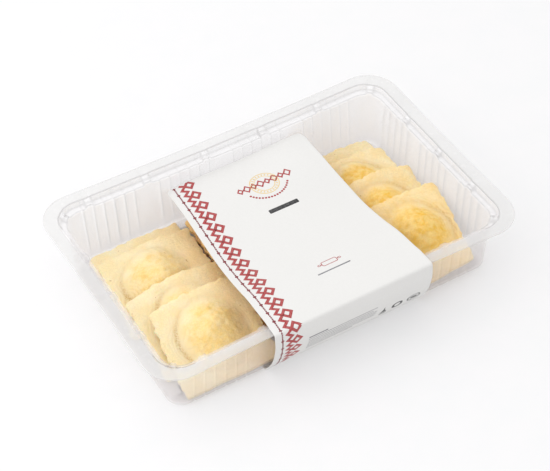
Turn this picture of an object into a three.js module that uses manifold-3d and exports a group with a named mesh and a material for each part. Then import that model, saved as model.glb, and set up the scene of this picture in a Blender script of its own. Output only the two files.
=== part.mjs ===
// Pack of fresh ravioli: an open clear tray with twelve filled squares of dough in three shingled
// columns, and a card band that runs over the middle, down the front and under the floor.
// Millimetres. x runs along the tray, y from its front to its back, z up from the band's underside.

import * as THREE from 'three';
import * as BufferGeometryUtils from 'three/addons/utils/BufferGeometryUtils.js';
import Module from 'manifold-3d';

const wasm = await Module();
wasm.setup();

// Clearances and sheet thicknesses
const CLEARANCE = 0.3;
const CARD = 0.5;
const WALL = 0.9;
const TRAY_BASE = CARD + CLEARANCE;

// Tray, heights counted from its own underside
const RIM_HEIGHT = 39.5;
const LEDGE_HEIGHT = 35.5;
const FOOT_FILLET = 1.6;

// Outlines of the tray: half its length and width there, the corner radius, and how far each side
// bows inwards at its middle as [front, right, back, left]
const RIM_OUTER = { half: [115, 76.37], radius: 20.7, bow: [3.2, 1.1, 2.1, 1.1] };
const RIM_INNER = { half: [106, 68.4], radius: 14, bow: [1.4, 0.4, 1.4, 0.4] };
const LEDGE_OUTER = { half: [105.4, 67.7], radius: 13.4, bow: [1.4, 0.4, 1.4, 0.4] };
const LEDGE_INNER = { half: [102.3, 64.2], radius: 11.6, bow: [1.7, 0.3, 1.7, 0.3] };
const FOOT_OUTER = { half: [101.2, 61.9], radius: 9.2, bow: [0, 0, 0, 0] };
const FOOT_INNER = outside(FOOT_OUTER, -WALL);
const LONG_SIDE_STEPS = 6;
const SHORT_SIDE_STEPS = 4;
const CORNER_STEPS = 7;

// Stiffening ribs inside the walls and bridges across the ledge
const RIB_HALF_WIDTH = 0.9;
const RIB_HEIGHT = 0.7;
const RIB_ROOT = 0.35;
const LONG_RIBS = { groups: [-73, -25.5, 22, 69.5], count: 6, pitch: 6.35 };
const SHORT_RIBS = { groups: [-39.6, -1.5, 36.6], count: 5, pitch: 6.3 };
const LONG_BRIDGES = [-84, -48, -10, 28, 66];
const SHORT_BRIDGES = [-35.5, -3, 29.5];
const BRIDGE_WIDTH = 5.5;
const BRIDGE_RISE = 1.4;
const BRIDGE_DROP = 0.3;

// Dough and filling
const DOUGH = 2.4;
const EDGE_THINNING = 0.25;
const EDGE_BAND = 0.15;
const HALF_SIDE = 28;
const OUTLINE_POWER = 14;
const OUTLINE_WOBBLE = 0.011;
const GOLDEN_ANGLE = 2.39996;
const DOME_FULLNESS = 0.75;
const GROOVE = { share: 1.06, width: 0.09, depth: 0.5 };
const DRAPE_BLEND = 1.5;
const SKIRT_SLOPE = 1.2;

// Points along each side of a square, and its rings: 0 at the filling's middle, 1 in the groove
// round the filling, 2 at the cut edge
const SIDE_POINTS = 6;
const TOP_RINGS = [0.32, 0.6, 0.83, 1, 1.5, 2];
const UNDER_RINGS = [2, 1.42, 0.65];

// Each square: rear and front edge as [left x, right x, y], the height of its underside above the
// tray's floor at the rear and front corners as [left, right], the rise of its rear edge between
// the corners, and its filling as [radius, height, shift in x, shift in y]. Back row first.
const COLUMNS = {
  left: [
    { rear: [-92.5, -35.5, 57.4], front: [-95, -37, 1], rise: [0.4, 0.4], rest: [0.4, 0.4],
      arch: 1.0, filling: [19, 7.0, 0, 0] },
    { rear: [-92, -33.5, 46.3], front: [-97, -36, -10], rise: [5.1, 4.7], rest: [0.5, 0.5],
      arch: 1.8, filling: [20, 8.0, -1, 2] },
    { rear: [-92.6, -33.5, 10.8], front: [-96, -36, -45], rise: [7.3, 8.7], rest: [0.5, 0.5],
      arch: 5.0, filling: [20, 7.5, 0, 0] },
    { rear: [-87.6, -33.5, -9.3], front: [-93, -34.5, -59.2], rise: [15.1, 16.1], rest: [0.6, 0.6],
      arch: 3.5, filling: [19.5, 8.5, 1, -1] },
  ],
  middle: [
    { rear: [-31.2, 29, 55], front: [-33, 29, -1], rise: [0.4, 0.4], rest: [0.4, 0.4],
      arch: 1.2, filling: [19, 7.0, 1, 0] },
    { rear: [-31.5, 29.5, 44], front: [-34, 29, -12], rise: [5.1, 5.1], rest: [0.5, 0.5],
      arch: 1.8, filling: [20, 7.5, -1, 1] },
    { rear: [-31, 29.5, 13], front: [-33.5, 29, -42], rise: [7.6, 8.1], rest: [0.5, 0.5],
      arch: 5.0, filling: [20, 7.5, 0, -1] },
    { rear: [-30.5, 30, -9], front: [-32, 29, -59.2], rise: [14.6, 15.1], rest: [0.6, 0.6],
      arch: 3.0, filling: [19.5, 8.0, 1, 0] },
  ],
  right: [
    { rear: [40, 95.3, 58.6], front: [40, 98, 2], rise: [0.5, 0.5], rest: [0.4, 0.4],
      arch: 1.6, filling: [19, 7.5, 0, 0] },
    { rear: [40, 97.2, 44], front: [40, 96, -12], rise: [5.1, 4.9], rest: [0.5, 0.5],
      arch: 4.0, filling: [20, 8.0, 0, 2] },
    { rear: [40.5, 98.4, 16.8], front: [41, 93.5, -38], rise: [12.1, 11.1], rest: [0.6, 1.1],
      arch: 7.0, filling: [20, 8.0, 0, 0] },
    { rear: [42, 99.6, -7.8], front: [41, 91.5, -59.2], rise: [18.1, 17.9], rest: [0.6, 6.6],
      arch: 2.5, filling: [19.5, 8.5, 3, -1] },
  ],
};

// Card band: its outer face over the top and down the front panel, as [y, height above the tray's
// underside], then its folds and the flat stretch under the tray
const BAND_TOP = [
  [59.3, 27.4], [46, 28.1], [34, 28.9], [11, 28.9], [-8, 29.3],
  [-27, 32.6], [-43, 36.9], [-55, 38.6], [-64, 40.1],
];
const BAND_TOP_STEPS = 20;
const BAND_PANEL = [[-75.68, 31.2], [-74.3, 23.4], [-71.9, 16], [-68.6, 8.9], [-65.2, 3.6]];
const BAND_PANEL_STEPS = 12;
const BAND_TUCK = { bottom: 22, radius: 1.6 };
const BAND_FRONT = { y: -75.6, radius: 1.6 };
const BAND_FOOT = { y: -63.4, radius: 3 };
const BAND_REAR_Y = 55;
const BAND_X = { tuck: [-38.1, 51], front: [-47, 51], foot: [-46.2, 51.5] };
const FOLD_STEPS = 4;

const materials = {
  tray: new THREE.MeshStandardMaterial({ color: 0xe3e3e6, roughness: 0.25, metalness: 0 }),
  band: new THREE.MeshStandardMaterial({ color: 0xf3f3f1, roughness: 0.55, metalness: 0 }),
  dough: new THREE.MeshStandardMaterial({ color: 0xf1dca6, roughness: 0.8, metalness: 0 }),
};

const { clamp, degToRad, lerp: mix, radToDeg } = THREE.MathUtils;

// Larger of two heights, with a rounded change-over that is `blend` wide
function smoothMax(a, b, blend) {
  const share = clamp(0.5 + (a - b) / (2 * blend), 0, 1);
  return mix(b, a, share) + blend * share * (1 - share);
}

function solid(positions, triangles) {
  const mesh = new wasm.Mesh({
    numProp: 3,
    vertProperties: new Float32Array(positions.flat()),
    triVerts: new Uint32Array(triangles.flat()),
  });
  return new wasm.Manifold(mesh);
}

function meshOf(name, body, material) {
  const { numProp, vertProperties, triVerts } = body.getMesh();
  const positions = new Float32Array((vertProperties.length / numProp) * 3);
  for (let i = 0; i < positions.length / 3; i += 1) {
    positions.set(vertProperties.subarray(i * numProp, i * numProp + 3), i * 3);
  }
  const geometry = new THREE.BufferGeometry();
  geometry.setAttribute('position', new THREE.BufferAttribute(positions, 3));
  geometry.setIndex(new THREE.BufferAttribute(new Uint32Array(triVerts), 1));
  const merged = BufferGeometryUtils.mergeVertices(geometry, 1e-5);
  merged.computeVertexNormals();
  const mesh = new THREE.Mesh(merged, material);
  mesh.name = name;
  return mesh;
}

// Closed surface through rings of equal length, each end closed by a fan round a centre point
function loft(rings, firstCentre, lastCentre) {
  const count = rings[0].length;
  const positions = [...rings.flat(), firstCentre, lastCentre];
  const first = rings.length * count;
  const last = first + 1;
  const base = (rings.length - 1) * count;
  const triangles = [];
  for (let i = 0; i < count; i += 1) {
    const next = (i + 1) % count;
    triangles.push([first, i, next], [last, base + next, base + i]);
    for (let k = 0; k + 1 < rings.length; k += 1) {
      const a = k * count + i;
      const b = k * count + next;
      triangles.push([a, a + count, b], [b, a + count, b + count]);
    }
  }
  return solid(positions, triangles);
}

// Tray

// Points round one of the tray's outlines, at a height above its underside
function trayRing({ half, radius, bow }, z) {
  const [hx, hy] = half;
  const corners = [[1, -1], [1, 1], [-1, 1], [-1, -1]];
  const points = [];
  corners.forEach(([sx, sy], corner) => {
    const start = -Math.PI / 2 + (corner * Math.PI) / 2;
    const centre = [sx * (hx - radius), sy * (hy - radius)];
    for (let k = 0; k <= CORNER_STEPS; k += 1) {
      const angle = start + (k / CORNER_STEPS) * (Math.PI / 2);
      points.push([centre[0] + radius * Math.cos(angle), centre[1] + radius * Math.sin(angle)]);
    }
    const [nx, ny] = corners[(corner + 1) % 4];
    const from = points[points.length - 1];
    const straight = 2 * ((corner % 2 ? hx : hy) - radius);
    const steps = corner % 2 ? LONG_SIDE_STEPS : SHORT_SIDE_STEPS;
    for (let k = 1; k < steps; k += 1) {
      const along = (k / steps) * straight;
      points.push([from[0] + Math.sign(nx - sx) * along, from[1] + Math.sign(ny - sy) * along]);
    }
  });
  return points.map(([x, y]) => {
    const u = x / hx;
    const v = y / hy;
    const bowX = (u > 0 ? bow[1] : bow[3]) * Math.max(0, 1 - v * v);
    const bowY = (v > 0 ? bow[2] : bow[0]) * Math.max(0, 1 - u * u);
    return [x - u * bowX, y - v * bowY, TRAY_BASE + z];
  });
}

// The same outline moved out by a distance
function outside({ half, radius, bow }, by) {
  return { half: half.map((value) => value + by), radius: radius + by, bow };
}

// Outline on the fillet between wall and floor, at an angle from the wall's foot (0) to the floor
function filletRing(foot, z, turn) {
  const inset = FOOT_FILLET * (1 - Math.cos(turn));
  return trayRing(outside(foot, -inset), z + FOOT_FILLET * (1 - Math.sin(turn)));
}

function trayShell() {
  const turns = [Math.PI / 2, Math.PI / 4, 0];
  const underRim = RIM_HEIGHT - WALL;
  const underLedge = LEDGE_HEIGHT - WALL;
  const inside = [
    ...turns.map((turn) => filletRing(FOOT_INNER, WALL, turn)),
    trayRing(LEDGE_INNER, LEDGE_HEIGHT),
    trayRing(LEDGE_OUTER, LEDGE_HEIGHT),
    trayRing(RIM_INNER, RIM_HEIGHT),
    trayRing(RIM_OUTER, RIM_HEIGHT),
  ];
  const under = [
    trayRing(RIM_OUTER, underRim),
    trayRing(outside(RIM_INNER, WALL), underRim),
    trayRing(outside(LEDGE_OUTER, WALL), underLedge),
    trayRing(outside(LEDGE_INNER, WALL), underLedge),
    ...turns.toReversed().map((turn) => filletRing(FOOT_OUTER, 0, turn)),
  ];
  const rings = [...inside, ...under];
  return loft(rings, [0, 0, TRAY_BASE + WALL], [0, 0, TRAY_BASE]);
}

// Distance of an outline from the tray's middle, at a place along it. axis 0 is the short sides,
// axis 1 the long ones.
function reach({ half, bow }, axis, along) {
  return half[axis] - bow[axis ? 2 : 1] * (1 - (along / half[1 - axis]) ** 2);
}

// Distance of a wall's inner face from the tray's middle, at a place along it and a height
function wallDistance(axis, along, z) {
  const share = (z - WALL - FOOT_FILLET) / (LEDGE_HEIGHT - WALL - FOOT_FILLET);
  return mix(reach(FOOT_INNER, axis, along), reach(LEDGE_INNER, axis, along), share);
}

// Closed prism whose bottom and top faces are rings of as many points each
const prism = (bottom, top) => loft([top, bottom], centreOf(top), centreOf(bottom));

function centreOf(points) {
  return [0, 1, 2].map((k) => points.reduce((sum, point) => sum + point[k], 0) / points.length);
}

// Point at a signed distance from the middle on one wall's side
function onSide(axis, side, distance, along, z) {
  const point = axis ? [along, side * distance] : [side * distance, along];
  return [...point, TRAY_BASE + z];
}

function rib(axis, side, along) {
  const section = (z) => {
    const wall = wallDistance(axis, along, z);
    const points = [
      onSide(axis, side, wall + RIB_ROOT, along - RIB_HALF_WIDTH, z),
      onSide(axis, side, wall + RIB_ROOT, along + RIB_HALF_WIDTH, z),
      onSide(axis, side, wall - RIB_HEIGHT, along, z),
    ];
    return (side > 0) === (axis === 1) ? points.toReversed() : points;
  };
  return prism(section(WALL / 2 + FOOT_FILLET), section(LEDGE_HEIGHT - WALL / 2));
}

// Bridge from the rim's inner edge down to the ledge's inner edge
function bridge(axis, side, along) {
  const outer = reach(RIM_INNER, axis, along) + WALL / 2;
  const inner = reach(LEDGE_INNER, axis, along) + WALL / 3;
  const corners = (innerZ, outerZ) => {
    const points = [
      onSide(axis, side, inner, along - BRIDGE_WIDTH / 2, innerZ),
      onSide(axis, side, inner, along + BRIDGE_WIDTH / 2, innerZ),
      onSide(axis, side, outer, along + BRIDGE_WIDTH / 2, outerZ),
      onSide(axis, side, outer, along - BRIDGE_WIDTH / 2, outerZ),
    ];
    return (side > 0) === (axis === 1) ? points : points.toReversed();
  };
  const under = LEDGE_HEIGHT - WALL / 2;
  const top = corners(LEDGE_HEIGHT + BRIDGE_RISE, RIM_HEIGHT - BRIDGE_DROP);
  return prism(corners(under, under), top);
}

function places({ groups, count, pitch }) {
  const offsets = Array.from({ length: count }, (_, i) => (i - (count - 1) / 2) * pitch);
  return groups.flatMap((centre) => offsets.map((offset) => centre + offset));
}

function tray() {
  const extras = [];
  for (const side of [-1, 1]) {
    for (const along of places(LONG_RIBS)) extras.push(rib(1, side, along));
    for (const along of places(SHORT_RIBS)) extras.push(rib(0, side, along));
    for (const along of LONG_BRIDGES) extras.push(bridge(1, side, along));
    for (const along of SHORT_BRIDGES) extras.push(bridge(0, side, along));
  }
  return wasm.Manifold.union([trayShell(), ...extras]);
}

// Ravioli

// Height of the tray's floor inside
const FLOOR = TRAY_BASE + WALL;

// The piece's own coordinates: u from left (-1) to right (1), v from front (-1) to rear (1)
function toWorld(piece, u, v) {
  const back = (v + 1) / 2;
  const left = mix(piece.front[0], piece.rear[0], back);
  const right = mix(piece.front[1], piece.rear[1], back);
  return [mix(left, right, (u + 1) / 2), mix(piece.front[2], piece.rear[2], back)];
}

function toLocal(piece, x, y) {
  const back = (y - piece.front[2]) / (piece.rear[2] - piece.front[2]);
  const left = mix(piece.front[0], piece.rear[0], back);
  const right = mix(piece.front[1], piece.rear[1], back);
  return [(2 * (x - left)) / (right - left) - 1, 2 * back - 1];
}

// Distance from the middle to the cut edge in u and v: a square with slightly rounded corners
// and an uneven edge
function edgeDistance(piece, angle) {
  const power = OUTLINE_POWER;
  const square = (Math.abs(Math.cos(angle)) ** power + Math.abs(Math.sin(angle)) ** power)
    ** (-1 / power);
  let wobble = 0;
  for (const waves of [3, 5, 8, 11]) {
    wobble += (3 / (waves + 1)) * Math.cos(waves * angle + piece.index * waves * GOLDEN_ANGLE);
  }
  return square * (1 + OUTLINE_WOBBLE * wobble);
}

// Share of the way from the middle to the cut edge
function edgeShare(piece, u, v) {
  return Math.hypot(u, v) / edgeDistance(piece, Math.atan2(v, u));
}

function fillingCentre(piece) {
  const middle = toWorld(piece, 0, 0);
  return [middle[0] + piece.filling[2], middle[1] + piece.filling[3]];
}

// Underside of the undraped square: four corner heights and an arch towards the rear edge
function restHeight(piece, x, y) {
  const [u, v] = toLocal(piece, x, y);
  const across = clamp((u + 1) / 2, -0.1, 1.1);
  const back = clamp((v + 1) / 2, -0.1, 1.1);
  const rear = mix(piece.rise[0], piece.rise[1], across);
  const front = mix(piece.rest[0], piece.rest[1], across);
  const arch = piece.arch * Math.max(0, 1 - u * u) * clamp(back, 0, 1) ** 2;
  return FLOOR + mix(front, rear, back) + arch;
}

function doughThickness(share) {
  return DOUGH * (1 - EDGE_THINNING * clamp((share - 1 + EDGE_BAND) / EDGE_BAND, 0, 1) ** 2);
}

function fillingHeight(piece, x, y) {
  const [cx, cy] = fillingCentre(piece);
  const [radius, height] = piece.filling;
  const share = Math.hypot(x - cx, y - cy) / radius;
  const groove = GROOVE.depth * Math.exp(-(((share - GROOVE.share) / GROOVE.width) ** 2));
  if (share >= 1) return -groove;
  return height * (0.5 + 0.5 * Math.cos(Math.PI * share)) ** DOME_FULLNESS - groove;
}

// Top of the square, draped over the ones behind it in its column
function topHeight(column, order, x, y) {
  const piece = column[order];
  const [u, v] = toLocal(piece, x, y);
  const thickness = doughThickness(edgeShare(piece, u, v));
  let height = restHeight(piece, x, y) + thickness + fillingHeight(piece, x, y);
  for (let below = 0; below < order; below += 1) {
    const support = supportHeight(column, below, x, y);
    height = smoothMax(height, support + CLEARANCE + thickness, DRAPE_BLEND);
  }
  return height;
}

// Top of a lower square, falling off steeply beyond its edge
function supportHeight(column, order, x, y) {
  const piece = column[order];
  const [u, v] = toLocal(piece, x, y);
  const shrink = Math.min(1, 1 / Math.max(edgeShare(piece, u, v), 1e-9));
  const [nearX, nearY] = toWorld(piece, u * shrink, v * shrink);
  return topHeight(column, order, nearX, nearY) - SKIRT_SLOPE * Math.hypot(x - nearX, y - nearY);
}

// Points round the cut edge, spaced more closely near the corners
function edgePoints(piece) {
  const points = [];
  for (let side = 0; side < 4; side += 1) {
    for (let k = 0; k < SIDE_POINTS; k += 1) {
      const even = (2 * k) / SIDE_POINTS - 1;
      const along = (even + Math.sin((even * Math.PI) / 2)) / 2;
      const angle = Math.atan2(along, 1) + (side * Math.PI) / 2;
      const distance = edgeDistance(piece, angle);
      points.push([distance * Math.cos(angle), distance * Math.sin(angle)]);
    }
  }
  return points;
}

// Rings in plan, given by shares from 0 at the filling's middle over 1 in its groove to 2 at the
// cut edge: circles up to the groove, which then change to the outline
function planRings(piece, shares) {
  const [cx, cy] = fillingCentre(piece);
  const radius = piece.filling[0] * GROOVE.share;
  const outline = edgePoints(piece).map(([u, v]) => toWorld(piece, u, v));
  return shares.map((share) => outline.map(([x, y]) => {
    const length = Math.hypot(x - cx, y - cy);
    const circle = (radius * Math.min(share, 1)) / length;
    const outward = mix(circle, 1, clamp(share - 1, 0, 1));
    return [cx + (x - cx) * outward, cy + (y - cy) * outward];
  }));
}

// Square of dough as a closed solid, `extra` larger all round
function doughSolid(column, order, extra) {
  const piece = column[order];
  const centre = fillingCentre(piece);
  const swell = 1 + extra / HALF_SIDE;
  const spread = ([x, y]) => [mix(centre[0], x, swell), mix(centre[1], y, swell)];
  const top = planRings(piece, TOP_RINGS).map((ring) =>
    ring.map(([x, y]) => [...spread([x, y]), topHeight(column, order, x, y) + extra]));
  const under = planRings(piece, UNDER_RINGS).map((ring) =>
    ring.map(([x, y]) => [...spread([x, y]), restHeight(piece, x, y) - extra]));
  const high = topHeight(column, order, ...centre) + extra;
  const low = restHeight(piece, ...centre) - extra;
  return loft([...top, ...under], [...centre, high], [...centre, low]);
}

// Each square sits on those behind it: their forms are pressed into its underside
function ravioli(column, order) {
  let body = doughSolid(column, order, 0);
  for (let below = 0; below < order; below += 1) {
    body = body.subtract(doughSolid(column, below, CLEARANCE));
  }
  return body;
}

// Card band

// Points on a fold: a quarter turn or less round a centre, between two angles in degrees
function fold(centre, radius, fromDegrees, toDegrees) {
  return Array.from({ length: FOLD_STEPS + 1 }, (_, k) => {
    const angle = degToRad(mix(fromDegrees, toDegrees, k / FOLD_STEPS));
    return [centre[0] + radius * Math.cos(angle), centre[1] + radius * Math.sin(angle)];
  });
}

// Points on a smooth curve through the given ones
function splinePoints(through, steps) {
  const curve = new THREE.SplineCurve(through.map(([y, z]) => new THREE.Vector2(y, z)));
  return curve.getPoints(steps).map(({ x, y }) => [x, y]);
}

// Outer face of the band in the y-z plane, from the tucked end to the end under the tray
function bandPath() {
  const top = splinePoints(BAND_TOP, BAND_TOP_STEPS);
  const startSlope = radToDeg(Math.atan2(top[1][1] - top[0][1], top[0][0] - top[1][0]));
  const startTurn = degToRad(90 - startSlope);
  const tuckCentre = [
    top[0][0] - BAND_TUCK.radius * Math.cos(startTurn),
    top[0][1] - BAND_TUCK.radius * Math.sin(startTurn),
  ];
  const tuckFold = fold(tuckCentre, BAND_TUCK.radius, 0, 90 - startSlope);

  const front = BAND_FRONT;
  const frontTop = RIM_HEIGHT + TRAY_BASE;
  const frontCentre = [front.y + front.radius, frontTop - front.radius];
  const frontFold = fold(frontCentre, front.radius, 90, 180);

  const foot = BAND_FOOT;
  const [above, below] = BAND_PANEL.slice(-2);
  const lean = radToDeg(Math.atan2(below[0] - above[0], above[1] - below[1]));
  const footCentre = [foot.y + foot.radius, foot.radius - TRAY_BASE];
  const footFold = fold(footCentre, foot.radius, 180 + lean, 270);
  const panel = splinePoints([frontFold.at(-1), ...BAND_PANEL, footFold[0]], BAND_PANEL_STEPS);
  return [
    [tuckFold[0][0], BAND_TUCK.bottom],
    ...tuckFold.slice(0, -1),
    ...top,
    ...frontFold,
    ...panel.slice(1, -1),
    ...footFold,
    [BAND_REAR_Y, -TRAY_BASE],
  ];
}

// Left and right edge of the band at each point of its path
function bandEdges(path) {
  const frontIndex = path.findIndex(([y]) => y < BAND_FRONT.y + 1);
  return path.map(([y, z], index) => {
    const { tuck, front, foot } = BAND_X;
    if (index < frontIndex) {
      const share = clamp((y - BAND_FRONT.y) / (path[0][0] - BAND_FRONT.y), 0, 1);
      return [mix(front[0], tuck[0], share), mix(front[1], tuck[1], share)];
    }
    const drop = clamp((RIM_HEIGHT - z) / RIM_HEIGHT, 0, 1);
    return [mix(front[0], foot[0], drop), mix(front[1], foot[1], drop)];
  });
}

// The path moved to the card's inner face
function insetPath(path) {
  return path.map(([y, z], index) => {
    const before = path[Math.max(index - 1, 0)];
    const after = path[Math.min(index + 1, path.length - 1)];
    const along = new THREE.Vector2(after[0] - before[0], after[1] - before[1]).normalize();
    return [y + along.y * -CARD, z + along.x * CARD];
  });
}

function band() {
  const outer = bandPath();
  const inner = insetPath(outer);
  const edges = bandEdges(outer);
  const rings = outer.map(([y, z], index) => {
    const [left, right] = edges[index];
    const [innerY, innerZ] = inner[index];
    return [
      [left, y, z + TRAY_BASE],
      [right, y, z + TRAY_BASE],
      [right, innerY, innerZ + TRAY_BASE],
      [left, innerY, innerZ + TRAY_BASE],
    ];
  });
  return loft(rings, centreOf(rings[0]), centreOf(rings[rings.length - 1]));
}

const pack = new THREE.Group();
pack.add(meshOf('tray', tray(), materials.tray));
pack.add(meshOf('sleeve', band(), materials.band));

let pieceIndex = 0;
for (const [side, column] of Object.entries(COLUMNS)) {
  column.forEach((piece) => {
    pieceIndex += 1;
    piece.index = pieceIndex;
  });
  column.forEach((_, order) => {
    const name = `ravioli_${side}_${order + 1}`;
    pack.add(meshOf(name, ravioli(column, order), materials.dough.clone()));
  });
}

export default pack;
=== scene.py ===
"""Pack of fresh ravioli: a clear tray, twelve filled squares of dough and a printed card sleeve.

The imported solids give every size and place. Lengths in the formulas are millimetres, x along the
tray, y from front to back, z up from the sleeve's underside; meshes are written in metres.
"""

import math

import bpy
import numpy as np
from bpy.props import FloatProperty, FloatVectorProperty, IntProperty, PointerProperty
from mathutils import Matrix


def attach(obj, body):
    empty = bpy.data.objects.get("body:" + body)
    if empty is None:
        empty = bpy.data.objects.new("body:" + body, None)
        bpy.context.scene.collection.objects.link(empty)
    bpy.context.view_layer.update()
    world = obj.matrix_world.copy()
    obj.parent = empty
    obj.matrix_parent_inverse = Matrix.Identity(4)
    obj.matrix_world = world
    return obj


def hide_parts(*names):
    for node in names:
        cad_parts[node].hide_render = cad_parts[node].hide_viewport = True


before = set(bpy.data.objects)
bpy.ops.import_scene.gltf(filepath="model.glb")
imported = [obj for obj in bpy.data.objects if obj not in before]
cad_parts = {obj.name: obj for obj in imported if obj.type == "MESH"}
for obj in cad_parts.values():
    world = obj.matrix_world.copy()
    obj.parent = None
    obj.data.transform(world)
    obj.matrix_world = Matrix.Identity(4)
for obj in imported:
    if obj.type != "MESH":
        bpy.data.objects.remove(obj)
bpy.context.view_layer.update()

bl_info = {
    "name": "Tray of ravioli",
    "version": (1, 0, 0),
    "blender": (4, 5, 0),
    "location": "View3D > Sidebar > Ravioli",
    "description": "Builds the tray, the dough squares, the printed card sleeve and the studio",
    "category": "Object",
}


def linear(hex_colour):
    """Linear colour of an sRGB hex value, by the sRGB transfer curve."""
    channels = [int(hex_colour[k:k + 2], 16) / 255 for k in (1, 3, 5)]
    return tuple(c / 12.92 if c <= 0.04045 else ((c + 0.055) / 1.055) ** 2.4 for c in channels)


# Sizes of the solids that the finished surfaces follow: the gap between lying pieces, the
# underside, flange and ledge of the tray, its sheet and the rounding at its foot

CLEARANCE = 0.3
TRAY_BASE = 0.8
RIM_HEIGHT = 39.5
LEDGE_HEIGHT = 35.5
WALL = 0.9
FOOT_FILLET = 1.6

# Outlines of the tray: half length and width, corner radius, bow of the sides (front, right,
# back, left)
RIM_OUTER = ((115, 76.37), 20.7, (3.2, 1.1, 2.1, 1.1))
RIM_INNER = ((106, 68.4), 14, (1.4, 0.4, 1.4, 0.4))
LEDGE_OUTER = ((105.4, 67.7), 13.4, (1.4, 0.4, 1.4, 0.4))
LEDGE_INNER = ((102.3, 64.2), 11.6, (1.7, 0.3, 1.7, 0.3))
FOOT_OUTER = ((101.2, 61.9), 9.2, (0, 0, 0, 0))

# Middles of the groups of ribs, ribs in a group and their pitch, and middles of the bridges, on
# the long and the short sides
LONG_RIB_GROUPS = (-73, -25.5, 22, 69.5)
LONG_RIBS = 6
LONG_RIB_PITCH = 6.35
SHORT_RIB_GROUPS = (-39.6, -1.5, 36.6)
SHORT_RIBS = 5
SHORT_RIB_PITCH = 6.3
LONG_BRIDGES = (-84, -48, -10, 28, 66)
SHORT_BRIDGES = (-35.5, -3, 29.5)

# Bridges over the ledge: half width, slope at each end, drop at the rim and where the ledge's
# outer edge lies between its neighbours. Straight sides reach to STRAIGHT_ENDS, the floor's
# first ring of points lies FLOOR_INSET inside the foot, and the walls wander by WALL_SWAY.
BRIDGE_HALF_WIDTH = 2.75
BRIDGE_END = 1.1
BRIDGE_DROP = 0.3
BRIDGE_LINE_SHARE = 0.35
STRAIGHT_ENDS = (90, 52)
FLOOR_INSET = 14
WALL_SWAY = 0.18

# Corner points of the tray's section between which the flange and the ledge lie
FLANGE_CONTROLS = (4, 7)
LEDGE_CONTROLS = (2, 4)

# Edges with a painted highlight (the foot's bead, the ledge's inner edge) and edges with a fine
# painted dark line of shade and reflection (both edges of the ledge and the rim's inner edge), by
# corner point, and how dark and how bright each of the rows round such an edge is
BRIGHT_EDGES = {1: 0.8, 2: 0.8}
DARK_EDGES = {2: 0.9, 3: 0.6, 4: 1.0}
EDGE_TONES = ((0, 0.6), (0, 0.8), (0.6, 0.2), (1, 0), (1, 0))
ROUNDING_ROWS = len(EDGE_TONES)

# Ribs: how dark their shaded flanks are on the near and right walls, how far they stand out at
# the foot and, on the near walls, at the ledge, and how bright their lit flanks are
NEAR_RIB_TONE = 0.25
RIGHT_RIB_TONE = 0.5
RIB_AT_FOOT = 0.8
NEAR_RIB_AT_LEDGE = 0.3
BACK_RIB_CREST = 0.35
FRONT_RIB_CREST = 0.7
RIGHT_RIB_CREST = 0.9

# Steps round each corner of the tray, and half the angle in degrees of the bridge in it
CORNER_STEPS = 26
CORNER_LAND = 11

# Dough: half a side, the cut edge, the filling's dome with its groove and wrinkles, and how the
# squares drape over each other and lie against the front wall
HALF_SIDE = 28
EDGE_THINNING = 0.25
EDGE_BAND = 0.15
OUTLINE_POWER = 36
OUTLINE_WOBBLE = 0.011
SLOW_WAVES = (3, 5, 8, 11)
SHORT_WAVES = (17, 23, 31, 43, 59)
GOLDEN_ANGLE = 2.39996
EDGE_START = 1.985
LEAST_DOUGH = 0.9
DOME_FULLNESS = 0.68
GROOVE_SHARE = 1.06
WRINKLE_PITCH = 2.5
GROOVE_WIDTH = 0.062
GROOVE_SHADE_WIDTH = 0.17
FILLING_WOBBLE = 0.03
WRINKLE_SPREAD = 0.95
DRAPE_BLEND = 1.5
UNDER_BLEND = 0.4
SKIRT_SLOPE = 1.2
FLOOR = TRAY_BASE + WALL
FRONT_WALL_Y = -60.6
MOST_SAG = 0.25

# Seeds of the random patterns, to which each square adds its number
SEEDS = {"edge": 40, "rim": 70, "outline": 90, "firmness": 110, "lumps": 130, "small lumps": 150,
         "wrinkles": 170}

# How far from the sleeve the dough takes a painted warm shade, and where the sleeve's edges end at
# the rear
WARM_SHADE_REACH = 15
WARM_REAR_Y = 60.5

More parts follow.
